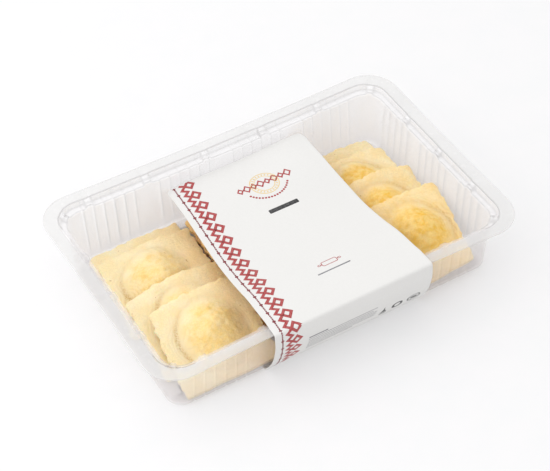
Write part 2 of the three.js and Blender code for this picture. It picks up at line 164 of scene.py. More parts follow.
# Squares from the rear to the front: left and right end and y of the rear and front edge, rise of
# the underside's left and right corner at the rear and at the front, arch, the filling's radius,
# height and shift, and the direction in degrees and strength of its wrinkles
COLUMNS = {
    "left": (
        dict(rear=(-92.5, -35.5, 57.4), front=(-95, -37, 1), rise=(0.4, 0.4), rest=(0.4, 0.4),
             arch=1.0, filling=(19, 7.0, 0, 0), wrinkle=(200, 0.5)),
        dict(rear=(-92, -33.5, 46.3), front=(-97, -36, -10), rise=(5.1, 4.7), rest=(0.5, 0.5),
             arch=1.8, filling=(20, 8.0, -1, 2), wrinkle=(205, 1.0)),
        dict(rear=(-92.6, -33.5, 10.8), front=(-96, -36, -45), rise=(7.3, 8.7), rest=(0.5, 0.5),
             arch=5.0, filling=(20, 7.5, 0, 0), wrinkle=(150, 0.6)),
        dict(rear=(-87.6, -33.5, -9.3), front=(-93.2, -34.5, -61.2), rise=(15.1, 16.1),
             rest=(0.6, 0.6), arch=3.5, filling=(19.5, 8.5, 1, 0), wrinkle=(185, 0.6)),
    ),
    "middle": (
        dict(rear=(-31.2, 29, 55), front=(-33, 29, -1), rise=(0.4, 0.4), rest=(0.4, 0.4),
             arch=1.2, filling=(19, 7.0, 1, 0), wrinkle=(20, 0.5)),
        dict(rear=(-31.5, 29.5, 44), front=(-34, 29, -12), rise=(5.1, 5.1), rest=(0.5, 0.5),
             arch=1.8, filling=(20, 7.5, -1, 1), wrinkle=(250, 0.5)),
        dict(rear=(-31, 29.5, 13), front=(-33.5, 29, -42), rise=(7.6, 8.1), rest=(0.5, 0.5),
             arch=5.0, filling=(20, 7.5, 0, -1), wrinkle=(310, 0.5)),
        dict(rear=(-30.5, 30, -9), front=(-32, 29, -61.2), rise=(14.6, 15.1), rest=(0.6, 0.6),
             arch=3.0, filling=(19.5, 8.0, 1, 1), wrinkle=(130, 0.5)),
    ),
    "right": (
        dict(rear=(40, 95.3, 58.6), front=(40, 98, 2), rise=(0.5, 0.5), rest=(0.4, 0.4),
             arch=1.6, filling=(19, 7.5, 0, 0), wrinkle=(30, 0.5)),
        dict(rear=(40, 97.2, 44), front=(40, 96, -12), rise=(5.1, 4.9), rest=(0.5, 0.5),
             arch=4.0, filling=(20, 8.0, 0, 2), wrinkle=(60, 0.35)),
        dict(rear=(40.5, 98.4, 16.8), front=(41, 93.5, -38), rise=(12.1, 11.1), rest=(0.6, 1.1),
             arch=7.0, filling=(20, 8.0, 0, 0), wrinkle=(40, 0.4)),
        dict(rear=(42, 99.6, -7.8), front=(41, 91.2, -61.2), rise=(18.1, 17.9), rest=(0.6, 6.6),
             arch=2.5, filling=(19.5, 8.5, 3, 0), wrinkle=(5, 0.8)),
    ),
}
for number, square in enumerate([s for column in COLUMNS.values() for s in column], start=1):
    square["index"] = number

# How strongly the filling shows, how much warmer the front square is than the rear one (partly
# painted shade), how much painted warm shade the dough takes beside the sleeve, and how yellow
# the front square's rim is, by column
TONES = {"left": (0.52, 0.0, 0.4, 0.0), "middle": (0.8, 0.3, 0.8, 0.1),
         "right": (1.4, 0.1, 0.42, 0.2)}

# Card sleeve: outer face in the y-z plane, heights above the tray's underside, and its left and
# right edge in x. The rear fold is tighter than in the solid and ends where the solid's does.
BAND_TOP = ((60.1, 27.4), (46, 28.1), (34, 28.9), (11, 28.9), (-8, 29.3), (-27, 32.6),
            (-43, 36.9), (-55, 38.6), (-64, 40.1))
BAND_PANEL = ((-75.68, 31.2), (-74.3, 23.4), (-71.9, 16), (-68.6, 8.9), (-65.2, 3.6))
TUCK_BOTTOM = 22
TUCK_RADIUS = 0.8
PRINT_ZERO_Y = 59.2
FRONT_Y = -75.6
FRONT_RADIUS = 1.6
FOOT_Y = -63.4
FOOT_RADIUS = 3
BAND_REAR_Y = 55
EDGE_AT_TUCK = (-38.1, 51)
EDGE_AT_FRONT = (-47, 51)
EDGE_AT_FOOT = (-46.2, 51.5)

# The rear fold's distance along the card, how fast the flap narrows beyond it, how far the card's
# cut edge bulges and the card bends, and how far the rear edge lifts, dips and springs up
REAR_FOLD_AT = -1.5
FLAP_NARROWING = 0.8
EDGE_BULGE = 0.04
CARD_BEND = 0.12
REAR_LIFT = 1.9
REAR_DIP = 1.5
REAR_SPRING = 0.3

# Print, placed by x and the distance along the card: height over the card and depth in it, and
# how much the print draws together at the rear and moves up at the front panel's foot
PRINT_LIFT = 0.035
PRINT_ROOT = -0.03
REAR_DRAW = 1.7
PANEL_DRAW = 5.5
STROKE_STEP = 0.5
BORDER_START = -3.9
BORDER_END = 180.5
FIRST_DOT = -2.6
DOT_PITCH = 7.6
DASH = 1.15
DASH_PITCH = 1.45
DASH_WIDTH = 0.8
FIRST_DIAMOND = 0.1
ZIGZAG_STEP = 2.6
BORDER_DIAMOND = (2.7, 3.2)
WHEEL = np.array([11.5, 24.0])
CHAIN_AT = 23.2
PIN = (6.5, 102.5)
PANEL_FOOT = 168.0
RULES_LEFT = -26.0

# The photograph's camera, angles in degrees and place in metres, and where the lights point
VIEW_AZIMUTH = -29.6745
VIEW_ELEVATION = 45.9691
VIEW_ROLL = -1.5084
VIEW_PLACE = (-0.338197, -0.589146, 0.726788)
PACK_MIDDLE = (0, 0, 0.02)


# Surfaces

def grid_faces(rows, columns):
    """Quads of a grid whose last column joins its first and whose last row joins its first."""
    here = np.arange(rows * columns).reshape(rows, columns)
    down = np.roll(here, -1, axis=0)
    corners = [here, down, np.roll(down, -1, axis=1), np.roll(here, -1, axis=1)]
    return np.stack(corners, axis=-1).reshape(-1, 4)


def faced_out(points, quads, fans):
    """The surface with its corners turned round where the enclosed volume, the sum of
    a·(b×c)/6 over its triangles, comes out negative."""
    thirds = np.concatenate([quads[:, [0, 1, 2]], quads[:, [0, 2, 3]], fans])
    a, b, c = (points[thirds[:, k]] - points.mean(axis=0) for k in range(3))
    order = -1 if np.einsum("ij,ij->", a, np.cross(b, c)) < 0 else 1
    return points, quads[:, ::order], fans[:, ::order]


def closed_surface(rings):
    """Points and faces of a tube through rings (R, N, 3) of equal length, closed at both ends
    by a fan round the end ring's mean."""
    rows, columns = rings.shape[:2]
    points = np.concatenate([rings.reshape(-1, 3), rings[[0, -1]].mean(axis=1)])
    here = np.arange(columns)
    after = (here + 1) % columns
    base = (rows - 1) * columns
    first = np.full(columns, rows * columns)
    fans = np.concatenate([
        np.stack([first, here, after], axis=1),
        np.stack([first + 1, base + after, base + here], axis=1),
    ])
    return faced_out(points, grid_faces(rows, columns)[:-columns], fans)


def ring_surface(rings):
    """Points and faces of a tube whose last ring joins its first."""
    return faced_out(rings.reshape(-1, 3), grid_faces(*rings.shape[:2]), np.zeros((0, 3), int))


def join_surfaces(parts):
    """One set of points and faces from several closed surfaces."""
    starts = np.cumsum([0] + [len(points) for points, _, _ in parts])
    joined = [np.concatenate([part[0] for part in parts])]
    for k in (1, 2):
        joined.append(np.concatenate([part[k] + start for part, start in zip(parts, starts)]))
    return joined


def add_piece(name, surface, materials, node=None, attributes=None, second=None):
    """Mesh object from a surface in millimetres, which rides on the pack's body. second marks
    the faces that take the second material."""
    points, quads, fans = surface
    mesh = bpy.data.meshes.new(name)
    mesh.from_pydata((points / 1000).tolist(), [], quads.tolist() + fans.tolist())
    mesh.polygons.foreach_set("use_smooth", np.ones(len(mesh.polygons), dtype=bool))
    for key, values in (attributes or {}).items():
        layer = mesh.attributes.new(key, "FLOAT", "POINT")
        layer.data.foreach_set("value", values.astype(np.float32))
    for material in materials:
        mesh.materials.append(material)
    if second is not None:
        mesh.polygons.foreach_set("material_index", second.astype(np.int32))
    mesh.update()
    piece = bpy.data.objects.new(name, mesh)
    bpy.context.scene.collection.objects.link(piece)
    if node:
        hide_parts(node)
    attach(piece, "root")
    return piece


def ripples(x, y, wavelength, seed):
    """Smooth unevenness between about -1 and 1: the mean of nine sine waves whose directions
    and phases are random and whose lengths spread round the given one."""
    rng = np.random.default_rng(seed)
    total = np.zeros(np.broadcast(x, y).shape)
    for _ in range(9):
        turn, phase = rng.uniform(0, 2 * np.pi, 2)
        stretch = rng.uniform(0.7, 1.4) * wavelength
        total += np.sin(2 * np.pi * (x * np.cos(turn) + y * np.sin(turn)) / stretch + phase)
    return total / 4.5


def rise(value, start, end):
    """Smooth step from 0 at start to 1 at end: 3t² - 2t³."""
    t = np.clip((value - start) / (end - start), 0, 1)
    return t * t * (3 - 2 * t)


def mix(a, b, share):
    """a + (b - a)·share."""
    return a + (b - a) * share


# Materials

# Sockets that are set together, in the order in which their values are given
NOISE = ("#Scale", "#Detail", "#Roughness")
RANGE = ("#From Min", "#From Max", "#To Min", "#To Max")
COATED_CARD = {"#Roughness": 0.5, "#IOR": 1.5, "#Specular IOR Level": 0.35}


def socket(node, name):
    """Input socket of a node by its name, or by its number."""
    return node.inputs[int(name) if name.isdigit() else name]


def add_node(tree, kind, settings=None, links=None):
    """Node with its settings and links: settings set attributes by name or sockets by "#name",
    links join this node's input sockets to (node, output) pairs."""
    node = tree.nodes.new(kind)
    for key, value in (settings or {}).items():
        if key.startswith("#"):
            socket(node, key[1:]).default_value = value
        else:
            setattr(node, key, value)
    for key, (source, output) in (links or {}).items():
        tree.links.new(source.outputs[output], socket(node, key))
    return node


def new_material(name):
    """Empty node material; returns it, its tree and the link to Object coordinates."""
    material = bpy.data.materials.new(name)
    material.use_nodes = True
    material.node_tree.nodes.clear()
    place = add_node(material.node_tree, "ShaderNodeTexCoord")
    return material, material.node_tree, (place, "Object")


def set_stops(node, stops):
    """Sets a colour ramp's stops, given as (position, colour)."""
    elements = node.color_ramp.elements
    while len(elements) < len(stops):
        elements.new(0.5)
    for element, (position, colour) in zip(elements, stops):
        element.position = position
        element.color = (*colour[:3], 1)


def dough_material(look):
    """Fresh egg-pasta dough, rolled and pressed round its filling: matt, pale cream at the rim,
    where semolina grains of half a millimetre dust it, and deeper yellow where the filling
    shows through the thin sheet. Painted shade darkens its creases and warms it beside the
    sleeve. A little light passes into it."""
    material, tree, place = new_material("rolled egg dough")
    parts = {}
    for key in ("filling", "crease_shade", "warm_shade"):
        parts[key] = add_node(tree, "ShaderNodeAttribute", {"attribute_name": key}), "Fac"
    # Grains at 0.7 mm, clouds at 9 mm, filling lumps at 3 mm and specks 2.4 mm apart: the scale
    # is features per metre
    for key, *values in (("grain", 1400, 3, 0.65), ("cloud", 110, 3, 0.55),
                         ("lump", 330, 3, 0.6), ("speck", 420, 1, 0.4)):
        noise = add_node(tree, "ShaderNodeTexNoise", dict(zip(NOISE, values)), {"Vector": place})
        parts[key] = noise, "Fac"
    # Each range with its source; dusted dough is bare of flour where the filling lifts it
    for key, source, *values in (
        ("lumpy", "lump", 0.4, 0.68, 0, 0.85), ("cloudy", "cloud", 0.4, 0.7, 0, 0.55),
        ("bare", "filling", 0, 1, 1, 0.25), ("crumb", "grain", 0.38, 0.62, 0.25, 1.5),
        ("grained", "grain", 0.3, 0.7, 0.9, 1.07), ("specked", "speck", 0.785, 0.8, 0, 0.55),
    ):
        spread = add_node(tree, "ShaderNodeMapRange", dict(zip(RANGE, values)),
                          {"Value": parts[source]})
        parts[key] = spread, "Result"
    for key, one, other in (("filled", "lumpy", "filling"), ("dusted", "cloudy", "bare"),
                            ("grainy_crease_shade", "crumb", "crease_shade")):
        product = add_node(tree, "ShaderNodeMath", {"operation": "MULTIPLY"},
                           {"0": parts[one], "1": parts[other]})
        parts[key] = product, "Value"

    # Colours laid over the rim's one after the other; the grain multiplies what is under it. The
    # warm layer is painted warm shade beside the sleeve and on the front squares, and the groove's
    # layer is painted shade in the creases, over thinner dough there
    tone = None
    for share, colour in (("filling", look.dome), ("filled", look.lump), ("dusted", look.flour),
                          ("warm_shade", look.warm), ("grainy_crease_shade", look.groove), ("grained", None),
                          ("specked", look.speck)):
        settings = {"data_type": "RGBA", "#6": (*look.rim, 1)}
        links = {"6": tone} if tone else {}
        if colour is None:
            settings.update({"blend_type": "MULTIPLY", "#0": 1.0})
            links["7"] = parts[share]
        else:
            settings["#7"] = (*colour, 1)
            links["0"] = parts[share]
        tone = add_node(tree, "ShaderNodeMix", settings, links), 2

    fine = add_node(tree, "ShaderNodeBump", {"#Strength": 0.6, "#Distance": 0.0004},
                    {"Height": parts["grain"]})
    soft = add_node(tree, "ShaderNodeBump", {"#Strength": 0.4, "#Distance": 0.0012},
                    {"Height": parts["lump"], "Normal": (fine, "Normal")})
    shader = add_node(tree, "ShaderNodeBsdfPrincipled",
                      {"#Roughness": 0.72, "#IOR": 1.42, "#Specular IOR Level": 0.3,
                       "#Subsurface Weight": 0.25, "#Subsurface Radius": (1.0, 0.55, 0.25),
                       "#Subsurface Scale": 0.0018},
                      {"Base Color": tone, "Normal": (soft, "Normal")})
    add_node(tree, "ShaderNodeOutputMaterial", links={"Surface": (shader, "BSDF")})
    return material


def tray_material(name, colour, shade, milkiness, roughness):
    """Thermoformed clear polypropylene: each face lets most light through and adds a milky grey,
    so doubled walls look denser. Forming leaves it softly glossy and faintly uneven. Painted shade
    darkens one flank of each rib, it turns rosy grey low down in the walls, and a painted
    highlight with a faint painted glow brightens the ribs' lit flanks and some edges."""
    material, tree, place = new_material(name)
    # Clouding of the sheet over about 25 mm, and draw marks over 4 mm
    cloud, marks = (add_node(tree, "ShaderNodeTexNoise", dict(zip(NOISE, (scale, 2, 0.5))),
                             {"Vector": place}) for scale in (40, 250))
    ramp = add_node(tree, "ShaderNodeValToRGB", links={"Fac": (cloud, "Fac")})
    set_stops(ramp, [(0.3, shade), (0.7, colour)])
    split = add_node(tree, "ShaderNodeSeparateXYZ", links={"Vector": place})
    low = add_node(tree, "ShaderNodeMapRange", dict(zip(RANGE, (0.002, 0.028, 0.45, 0))),
                   {"Value": (split, "Z")})
    line, painted_highlight = (add_node(tree, "ShaderNodeAttribute", {"attribute_name": key})
                   for key in ("line", "painted_highlight"))
    tone = ramp, "Color"
    # Over the sheet's tone: rosy grey low down, the painted shade line and the painted highlight
    for share, paint in (((low, "Result"), "#E0D4D4"), ((line, "Fac"), "#43352D"),
                         ((painted_highlight, "Fac"), "#FFFFFF")):
        layer = add_node(tree, "ShaderNodeMix", {"data_type": "RGBA", "#7": (*linear(paint), 1)},
                         {"0": share, "6": tone})
        tone = layer, 2
    # The painted highlight also glows faintly
    painted_glow = add_node(tree, "ShaderNodeMath", {"operation": "MULTIPLY", "#1": 0.26},
                        {"0": (painted_highlight, "Fac")})
    rough = add_node(tree, "ShaderNodeMapRange",
                     dict(zip(RANGE, (0.3, 0.7, roughness - 0.05, roughness + 0.07))),
                     {"Value": (marks, "Fac")})
    bump = add_node(tree, "ShaderNodeBump", {"#Strength": 0.06, "#Distance": 0.0005},
                    {"Height": (marks, "Fac")})
    shader = add_node(tree, "ShaderNodeBsdfPrincipled",
                      {"#IOR": 1.49, "#Alpha": milkiness, "#Emission Color": (1, 1, 1, 1)},
                      {"Base Color": tone, "Roughness": (rough, "Result"),
                       "Emission Strength": (painted_glow, "Value"), "Normal": (bump, "Normal")})
    add_node(tree, "ShaderNodeOutputMaterial", links={"Surface": (shader, "BSDF")})
    return material


def card_material(look):
    """Bleached folding carton with a thin clay coating: nearly white, softly matt, with the
    fibres' faint unevenness under the coating."""
    material, tree, place = new_material("coated folding carton")
    # Fibres at 1.2 mm and broad tone over 60 mm
    fibre, tone = (add_node(tree, "ShaderNodeTexNoise", dict(zip(NOISE, values)),
                            {"Vector": place}) for values in ((850, 4, 0.6), (16, 2, 0.5)))
    ramp = add_node(tree, "ShaderNodeValToRGB", links={"Fac": (tone, "Fac")})
    set_stops(ramp, [(0.3, look.card_shade), (0.7, look.card)])
    speckle = add_node(tree, "ShaderNodeMapRange", dict(zip(RANGE, (0.3, 0.7, 0.985, 1.01))),
                       {"Value": (fibre, "Fac")})
    tinted = add_node(tree, "ShaderNodeMix",
                      {"data_type": "RGBA", "blend_type": "MULTIPLY", "#0": 1.0},
                      {"6": (ramp, "Color"), "7": (speckle, "Result")})
    bump = add_node(tree, "ShaderNodeBump", {"#Strength": 0.12, "#Distance": 0.0003},
                    {"Height": (fibre, "Fac")})
    shader = add_node(tree, "ShaderNodeBsdfPrincipled", COATED_CARD,
                      {"Base Color": (tinted, 2), "Normal": (bump, "Normal")})
    add_node(tree, "ShaderNodeOutputMaterial", links={"Surface": (shader, "BSDF")})
    return material


def mottled_material(name, noise, stops, finish):
    """Material whose colour drifts between two stops along a noise, given as its scale, detail
    and roughness."""
    material, tree, place = new_material(name)
    mottle = add_node(tree, "ShaderNodeTexNoise", dict(zip(NOISE, noise)), {"Vector": place})
    ramp = add_node(tree, "ShaderNodeValToRGB", links={"Fac": (mottle, "Fac")})
    set_stops(ramp, stops)
    shader = add_node(tree, "ShaderNodeBsdfPrincipled", finish, {"Base Color": (ramp, "Color")})
    add_node(tree, "ShaderNodeOutputMaterial", links={"Surface": (shader, "BSDF")})
    return material


def ink_material(name, colour):
    """Offset ink on coated carton: slightly mottled where the coating takes it unevenly, at
    1 mm, as coarse as it needs to show."""
    lighter = tuple(mix(channel, 0.8, 0.12) for channel in colour)
    return mottled_material(name, (1000, 3, 0.6), [(0.35, colour), (0.75, lighter)], COATED_CARD)


def floor_material(look):
    """Opal acrylic of a light table: nearly white with a faint mottle over 20 mm, and lit a
    little from below, which keeps the shadows on it pale."""
    return mottled_material("opal acrylic light table", (50, 3, 0.5),
                            [(0.3, look.floor_shade), (0.7, look.floor)],
                            {"#Roughness": 0.9, "#Specular IOR Level": 0.1,
                             "#Emission Color": (1, 1, 1, 1), "#Emission Strength": look.glow})


# Tray

def side_stations(end, groups, count, pitch, half_width, bridges):
    """Places along a straight side: an even step of about 3 mm, seven on each rib and eight
    round each bridge, in order and at least 0.15 mm apart."""
    ribs = np.add.outer(np.array(groups), (np.arange(count) - (count - 1) / 2) * pitch).ravel()
    steps = [np.linspace(-end, end, int(2 * end / 3) + 1)]
    steps.append(np.add.outer(ribs, half_width * np.linspace(-1, 1, 7)).ravel())
    ends = BRIDGE_HALF_WIDTH + BRIDGE_END * np.linspace(-1, 0.2, 4)
    steps.append(np.add.outer(np.array(bridges), np.concatenate([-ends, ends])).ravel())
    values = np.sort(np.concatenate(steps))
    values = values[np.abs(values) <= end]
    return values[np.concatenate([[True], np.diff(values) > 0.15])], ribs


def outline_ring(outline, long_stations, short_stations):
    """Points (N, 2) round an outline, from the right side's front end on: straight sides at the
    given places, corners as quarter circles, and each side bowed in by bow·(1 - t²), where t
    runs from -1 to 1 along it."""
    (half_x, half_y), radius, bow = outline
    angle = np.linspace(0, np.pi / 2, CORNER_STEPS + 1)
    corner = np.concatenate([
        [[half_x, (short_stations[-1] + half_y - radius) / 2]],
        np.stack([half_x - radius + radius * np.cos(angle),
                  half_y - radius + radius * np.sin(angle)], axis=1),
        [[(long_stations[-1] + half_x - radius) / 2, half_y]],
    ])
    right = np.stack([np.full(len(short_stations), half_x), short_stations], axis=1)
    back = np.stack([long_stations[::-1], np.full(len(long_stations), half_y)], axis=1)
    ring = np.concatenate([
        right, corner,
        back, corner[::-1] * [-1, 1],
        right[::-1] * [-1, 1], -corner,
        back[::-1] * [1, -1], corner[::-1] * [1, -1],
    ])
    u = ring[:, 0] / half_x
    v = ring[:, 1] / half_y
    bow_x = np.where(u > 0, bow[1], bow[3]) * np.clip(1 - v * v, 0, None)
    bow_y = np.where(v > 0, bow[2], bow[0]) * np.clip(1 - u * u, 0, None)
    return ring - np.stack([u * bow_x, v * bow_y], axis=1)


def moved_out(outline, by):
    """The same outline a distance further out."""
    (half_x, half_y), radius, bow = outline
    return (half_x + by, half_y + by), radius + by, bow


def bell(distance, half_width):
    """1 at the middle, 0 from half_width on: (1 + cos(πd/w)) / 2."""
    return np.where(np.abs(distance) < half_width,
                    0.5 + 0.5 * np.cos(np.pi * distance / half_width), 0)


def side_profiles(look):
    """At each station round the tray: how far a rib stands out there, 0 to 1, the tones of its
    shaded and its lit flank, whether a bridge crosses the ledge there, 0 to 1, and the direction
    from the side inwards. The shaded flank is a rib's right one on the long sides and its front
    one on the short sides."""
    half_width = look.rib_half_width * 1000
    flank = 0.6 * half_width
    ends = BRIDGE_HALF_WIDTH - BRIDGE_END, BRIDGE_HALF_WIDTH + 0.2
    sides = []
    for end, groups, count, pitch, bridges, turned in (
        (STRAIGHT_ENDS[0], LONG_RIB_GROUPS, LONG_RIBS, LONG_RIB_PITCH, LONG_BRIDGES, 1),
        (STRAIGHT_ENDS[1], SHORT_RIB_GROUPS, SHORT_RIBS, SHORT_RIB_PITCH, SHORT_BRIDGES, -1),
    ):
        stations, ribs = side_stations(end, groups, count, pitch, half_width, bridges)
        off = turned * np.subtract.outer(stations, ribs)
        rib = np.stack([bell(off, half_width), bell(off - 0.5 * half_width, flank),
                        bell(off + 0.3 * half_width, flank)]).sum(axis=2).T
        bridge = 1 - rise(np.abs(np.subtract.outer(stations, np.array(bridges))), *ends)
        sides.append((stations, rib, bridge.max(axis=1)))
    long_side, short_side = sides

    turn = np.linspace(-45, 45, CORNER_STEPS + 1)
    land = np.concatenate([[0], 1 - rise(np.abs(turn), CORNER_LAND - 4, CORNER_LAND + 1), [0]])
    blocks = []
    for (_, rib, bridge), way, order in ((short_side, (-1, 0), 1), (long_side, (0, -1), -1),
                                         (short_side, (1, 0), -1), (long_side, (0, 1), 1)):
        blocks.append((rib[::order], bridge[::order], np.tile(way, (len(rib), 1))))
        blocks.append((np.zeros((len(land), 3)), land, np.zeros((len(land), 2))))
    rib, bridge, inward = (np.concatenate(part) for part in zip(*blocks))
    return long_side[0], short_side[0], rib, bridge, inward


def tray_surface(look):
    """The sheet as one closed surface: at every station round the tray a section runs from the
    floor up the wall, over the ledge and out to the flange's lip, and back underneath. Its
    corners are rounded by quadratic curves, ribs push the wall inwards, and bridges lift the
    ledge to the flange."""
    long_stations, short_stations, ribs, bridge, inward = side_profiles(look)
    rib, shaded, lit = ribs.T
    far = ((inward[:, 0] <= 0) & (inward[:, 1] <= 0)).astype(float)
    bridge_rise = look.bridge_rise * 1000

    def ring(outline, height, ribbed=0.0, raised=0.0):
        plan = outline_ring(outline, long_stations, short_stations)
        ribbed = ribbed * mix(NEAR_RIB_AT_LEDGE, 1.0, far) if height > FOOT_FILLET else ribbed
        plan = plan + inward * (rib * look.rib_height * 1000 * ribbed)[:, None]
        return np.column_stack([plan, height + raised * bridge + TRAY_BASE])

    def bridged(inner, middle, outer):
        """Moves the ledge's outer edge onto the line between its neighbours where a bridge is."""
        line = inner + (outer - inner) * BRIDGE_LINE_SHARE
        return middle + (line - middle) * bridge[:, None]

    # The section's corner points, each with the reach of its rounding and the number of rows
    # between it and the next one
    foot_inner = moved_out(FOOT_OUTER, -WALL)
    ledge_inner = ring(LEDGE_INNER, LEDGE_HEIGHT, 1.0, bridge_rise)
    rim_inner = ring(RIM_INNER, RIM_HEIGHT, 0, -BRIDGE_DROP)
    under_ledge = ring(moved_out(LEDGE_INNER, WALL), LEDGE_HEIGHT - WALL, 1.0, bridge_rise)
    under_rim = ring(moved_out(RIM_INNER, WALL), RIM_HEIGHT - WALL, 0, -BRIDGE_DROP)
    under_outer = ring(moved_out(LEDGE_OUTER, WALL), LEDGE_HEIGHT - WALL)
    controls = [
        (ring(moved_out(foot_inner, -FLOOR_INSET), WALL), 0, 4),
        (ring(foot_inner, WALL, RIB_AT_FOOT), FOOT_FILLET, 5),
        (ledge_inner, 0.7, 3),
        (bridged(ledge_inner, ring(LEDGE_OUTER, LEDGE_HEIGHT), rim_inner), 1.2, 3),
        (rim_inner, 0.8, 3),
        (ring(RIM_OUTER, RIM_HEIGHT), 0.35, 0),
        (ring(RIM_OUTER, RIM_HEIGHT - WALL), 0.35, 3),
        (under_rim, 0.4, 3),
        (bridged(under_ledge, under_outer, under_rim), 0.4, 3),
        (under_ledge, 0.5, 5),
        (ring(FOOT_OUTER, 0, RIB_AT_FOOT), FOOT_FILLET, 4),
        (ring(moved_out(FOOT_OUTER, -FLOOR_INSET), 0), 0, 0),
    ]
    # Every row of the section, whether it lies on the flange, and its tones: painted dark, painted
    # bright, ledge
    rows = [controls[0][0]]
    flange = [False]
    tones = [(0, 0, False)]
    for k in range(1, len(controls) - 1):
        point, radius, _ = controls[k]
        between = controls[k - 1][2]
        before = controls[k - 1][0] - point
        after = controls[k + 1][0] - point
        start = point + before / np.linalg.norm(before, axis=1, keepdims=True) * radius
        end = point + after / np.linalg.norm(after, axis=1, keepdims=True) * radius
        if between:
            shares = (0.04, 0.5, 0.96) if between == 3 else (0.02, 0.25, 0.5, 0.75, 0.98)
            rows += [mix(rows[-1], start, share) for share in shares]
        for t in np.linspace(0, 1, ROUNDING_ROWS):
            rows.append((1 - t) ** 2 * start + 2 * t * (1 - t) * point + t * t * end)
        thick = FLANGE_CONTROLS[0] < k <= FLANGE_CONTROLS[1]
        flange += [thick] * (len(rows) - len(flange))
        ledge = LEDGE_CONTROLS[0] < k <= LEDGE_CONTROLS[1]
        tones += [(0, 0, ledge)] * (len(rows) - ROUNDING_ROWS - len(tones))
        tones += [(DARK_EDGES.get(k, 0) * dark, BRIGHT_EDGES.get(k, 0) * bright, ledge)
                  for dark, bright in EDGE_TONES]
    rows.append(controls[-1][0])
    tones.append((0, 0, False))
    rings = np.stack(rows)

    # The drawn sheet is never quite flat: the walls wander by up to a fifth of a millimetre
    x, y, z = np.moveaxis(rings, -1, 0)
    height = z - TRAY_BASE
    middle = rise(height, 4, 12) * (1 - rise(height, 30, 34))
    sway = WALL_SWAY * ripples(x + y, z * 1.3, 34, 5) * middle
    rings[..., :2] -= inward[None, :, :] * sway[..., None]
    surface = closed_surface(rings)
    flange = np.array(flange + [False])
    dark_edge, bright_edge, on_ledge = np.array(tones, dtype=float).T[:, :, None]
    walls = rise(height, 1.5, 4) * ~flange[:, None] * (on_ledge == 0)
    # Painted shade lines where the bridges' slopes meet the ledge
    bridge_ends = np.clip(4 * on_ledge * bridge * (1 - bridge), 0, 1)
    # On the front and the left wall the ribs carry only a faint painted shade
    near_tone = mix(NEAR_RIB_TONE, 1.0, far)
    line = walls * shaded * np.where(inward[:, 0] < 0, RIGHT_RIB_TONE, near_tone)
    # Painted dark lines of shade and reflection along the edges and at the bridges' ends, on the
    # far walls only
    line = np.maximum(line, np.maximum(dark_edge, bridge_ends) * far)
    side = np.select([inward[:, 1] > 0, inward[:, 1] < 0], [FRONT_RIB_CREST, BACK_RIB_CREST],
                     RIGHT_RIB_CREST)
    # Painted highlight along the ribs' lit flanks and along the bright edges
    painted_highlight = np.maximum(walls * lit * side, bright_edge * near_tone)
    attributes = {"line": np.concatenate([line.ravel(), [0, 0]]),
                  "painted_highlight": np.concatenate([painted_highlight.ravel(), [0, 0]])}
    second = np.concatenate([np.repeat(flange[:-1], len(rib)), np.zeros(2 * len(rib), bool)])
    return surface, attributes, second


# Squares of dough

def smooth_max(a, b, blend):
    """Larger of two heights with a rounded change-over: mix(b, a, h) + blend·h·(1 - h), where
    h = 1/2 + (a - b) / (2·blend), held between 0 and 1."""
    share = np.clip(0.5 + (a - b) / (2 * blend), 0, 1)
    return mix(b, a, share) + blend * share * (1 - share)


def side_lines(square, back):
    """x of a square's left and right side at a share of the way from its front to its rear."""
    return [mix(square["front"][k], square["rear"][k], back) for k in range(2)]


def to_world(square, u, v):
    """Place of (u, v), both -1 to 1, in the square's plan."""
    back = (v + 1) / 2
    left, right = side_lines(square, back)
    return mix(left, right, (u + 1) / 2), mix(square["front"][2], square["rear"][2], back)


def to_local(square, x, y):
    """The reverse of to_world."""
    front, rear = square["front"][2], square["rear"][2]
    back = (y - front) / (rear - front)
    left, right = side_lines(square, back)
    return 2 * (x - left) / (right - left) - 1, 2 * back - 1


def edge_distance(square, angle, look):
    """Distance from the middle to the cut edge: a superellipse |cos|ᵖ + |sin|ᵖ = 1, wobbled by
    slow waves as in the solid and crinkled by short ones that the cutter's drag leaves."""
    power = OUTLINE_POWER
    base = (np.abs(np.cos(angle)) ** power + np.abs(np.sin(angle)) ** power) ** (-1 / power)
    number = square["index"]
    wobble = sum(3 / (waves + 1) * np.cos(waves * (angle + number * GOLDEN_ANGLE))
                 for waves in SLOW_WAVES)
    rng = np.random.default_rng(SEEDS["edge"] + number)
    crinkle = 0
    for waves in SHORT_WAVES:
        phase = rng.uniform(0, 2 * np.pi)
        size = rng.uniform(0.5, 1) * (23 / waves) ** 0.5
        crinkle = crinkle + size * np.cos(waves * angle + phase)
    return base * (1 + OUTLINE_WOBBLE * wobble + look.crinkle * 1000 / HALF_SIDE * crinkle)


def edge_share(square, u, v, look):
    """Share of the way from the middle to the cut edge."""
    return np.hypot(u, v) / edge_distance(square, np.arctan2(v, u), look)


def filling_centre(square):
    """Middle of the filling in plan."""
    x, y = to_world(square, 0.0, 0.0)
    return x + square["filling"][2], y + square["filling"][3]


def own_ripples(square, x, y, wavelength, pattern):
    """Ripples of a square's own, from the seed of the pattern and its number."""
    return ripples(x, y, wavelength, SEEDS[pattern] + square["index"])


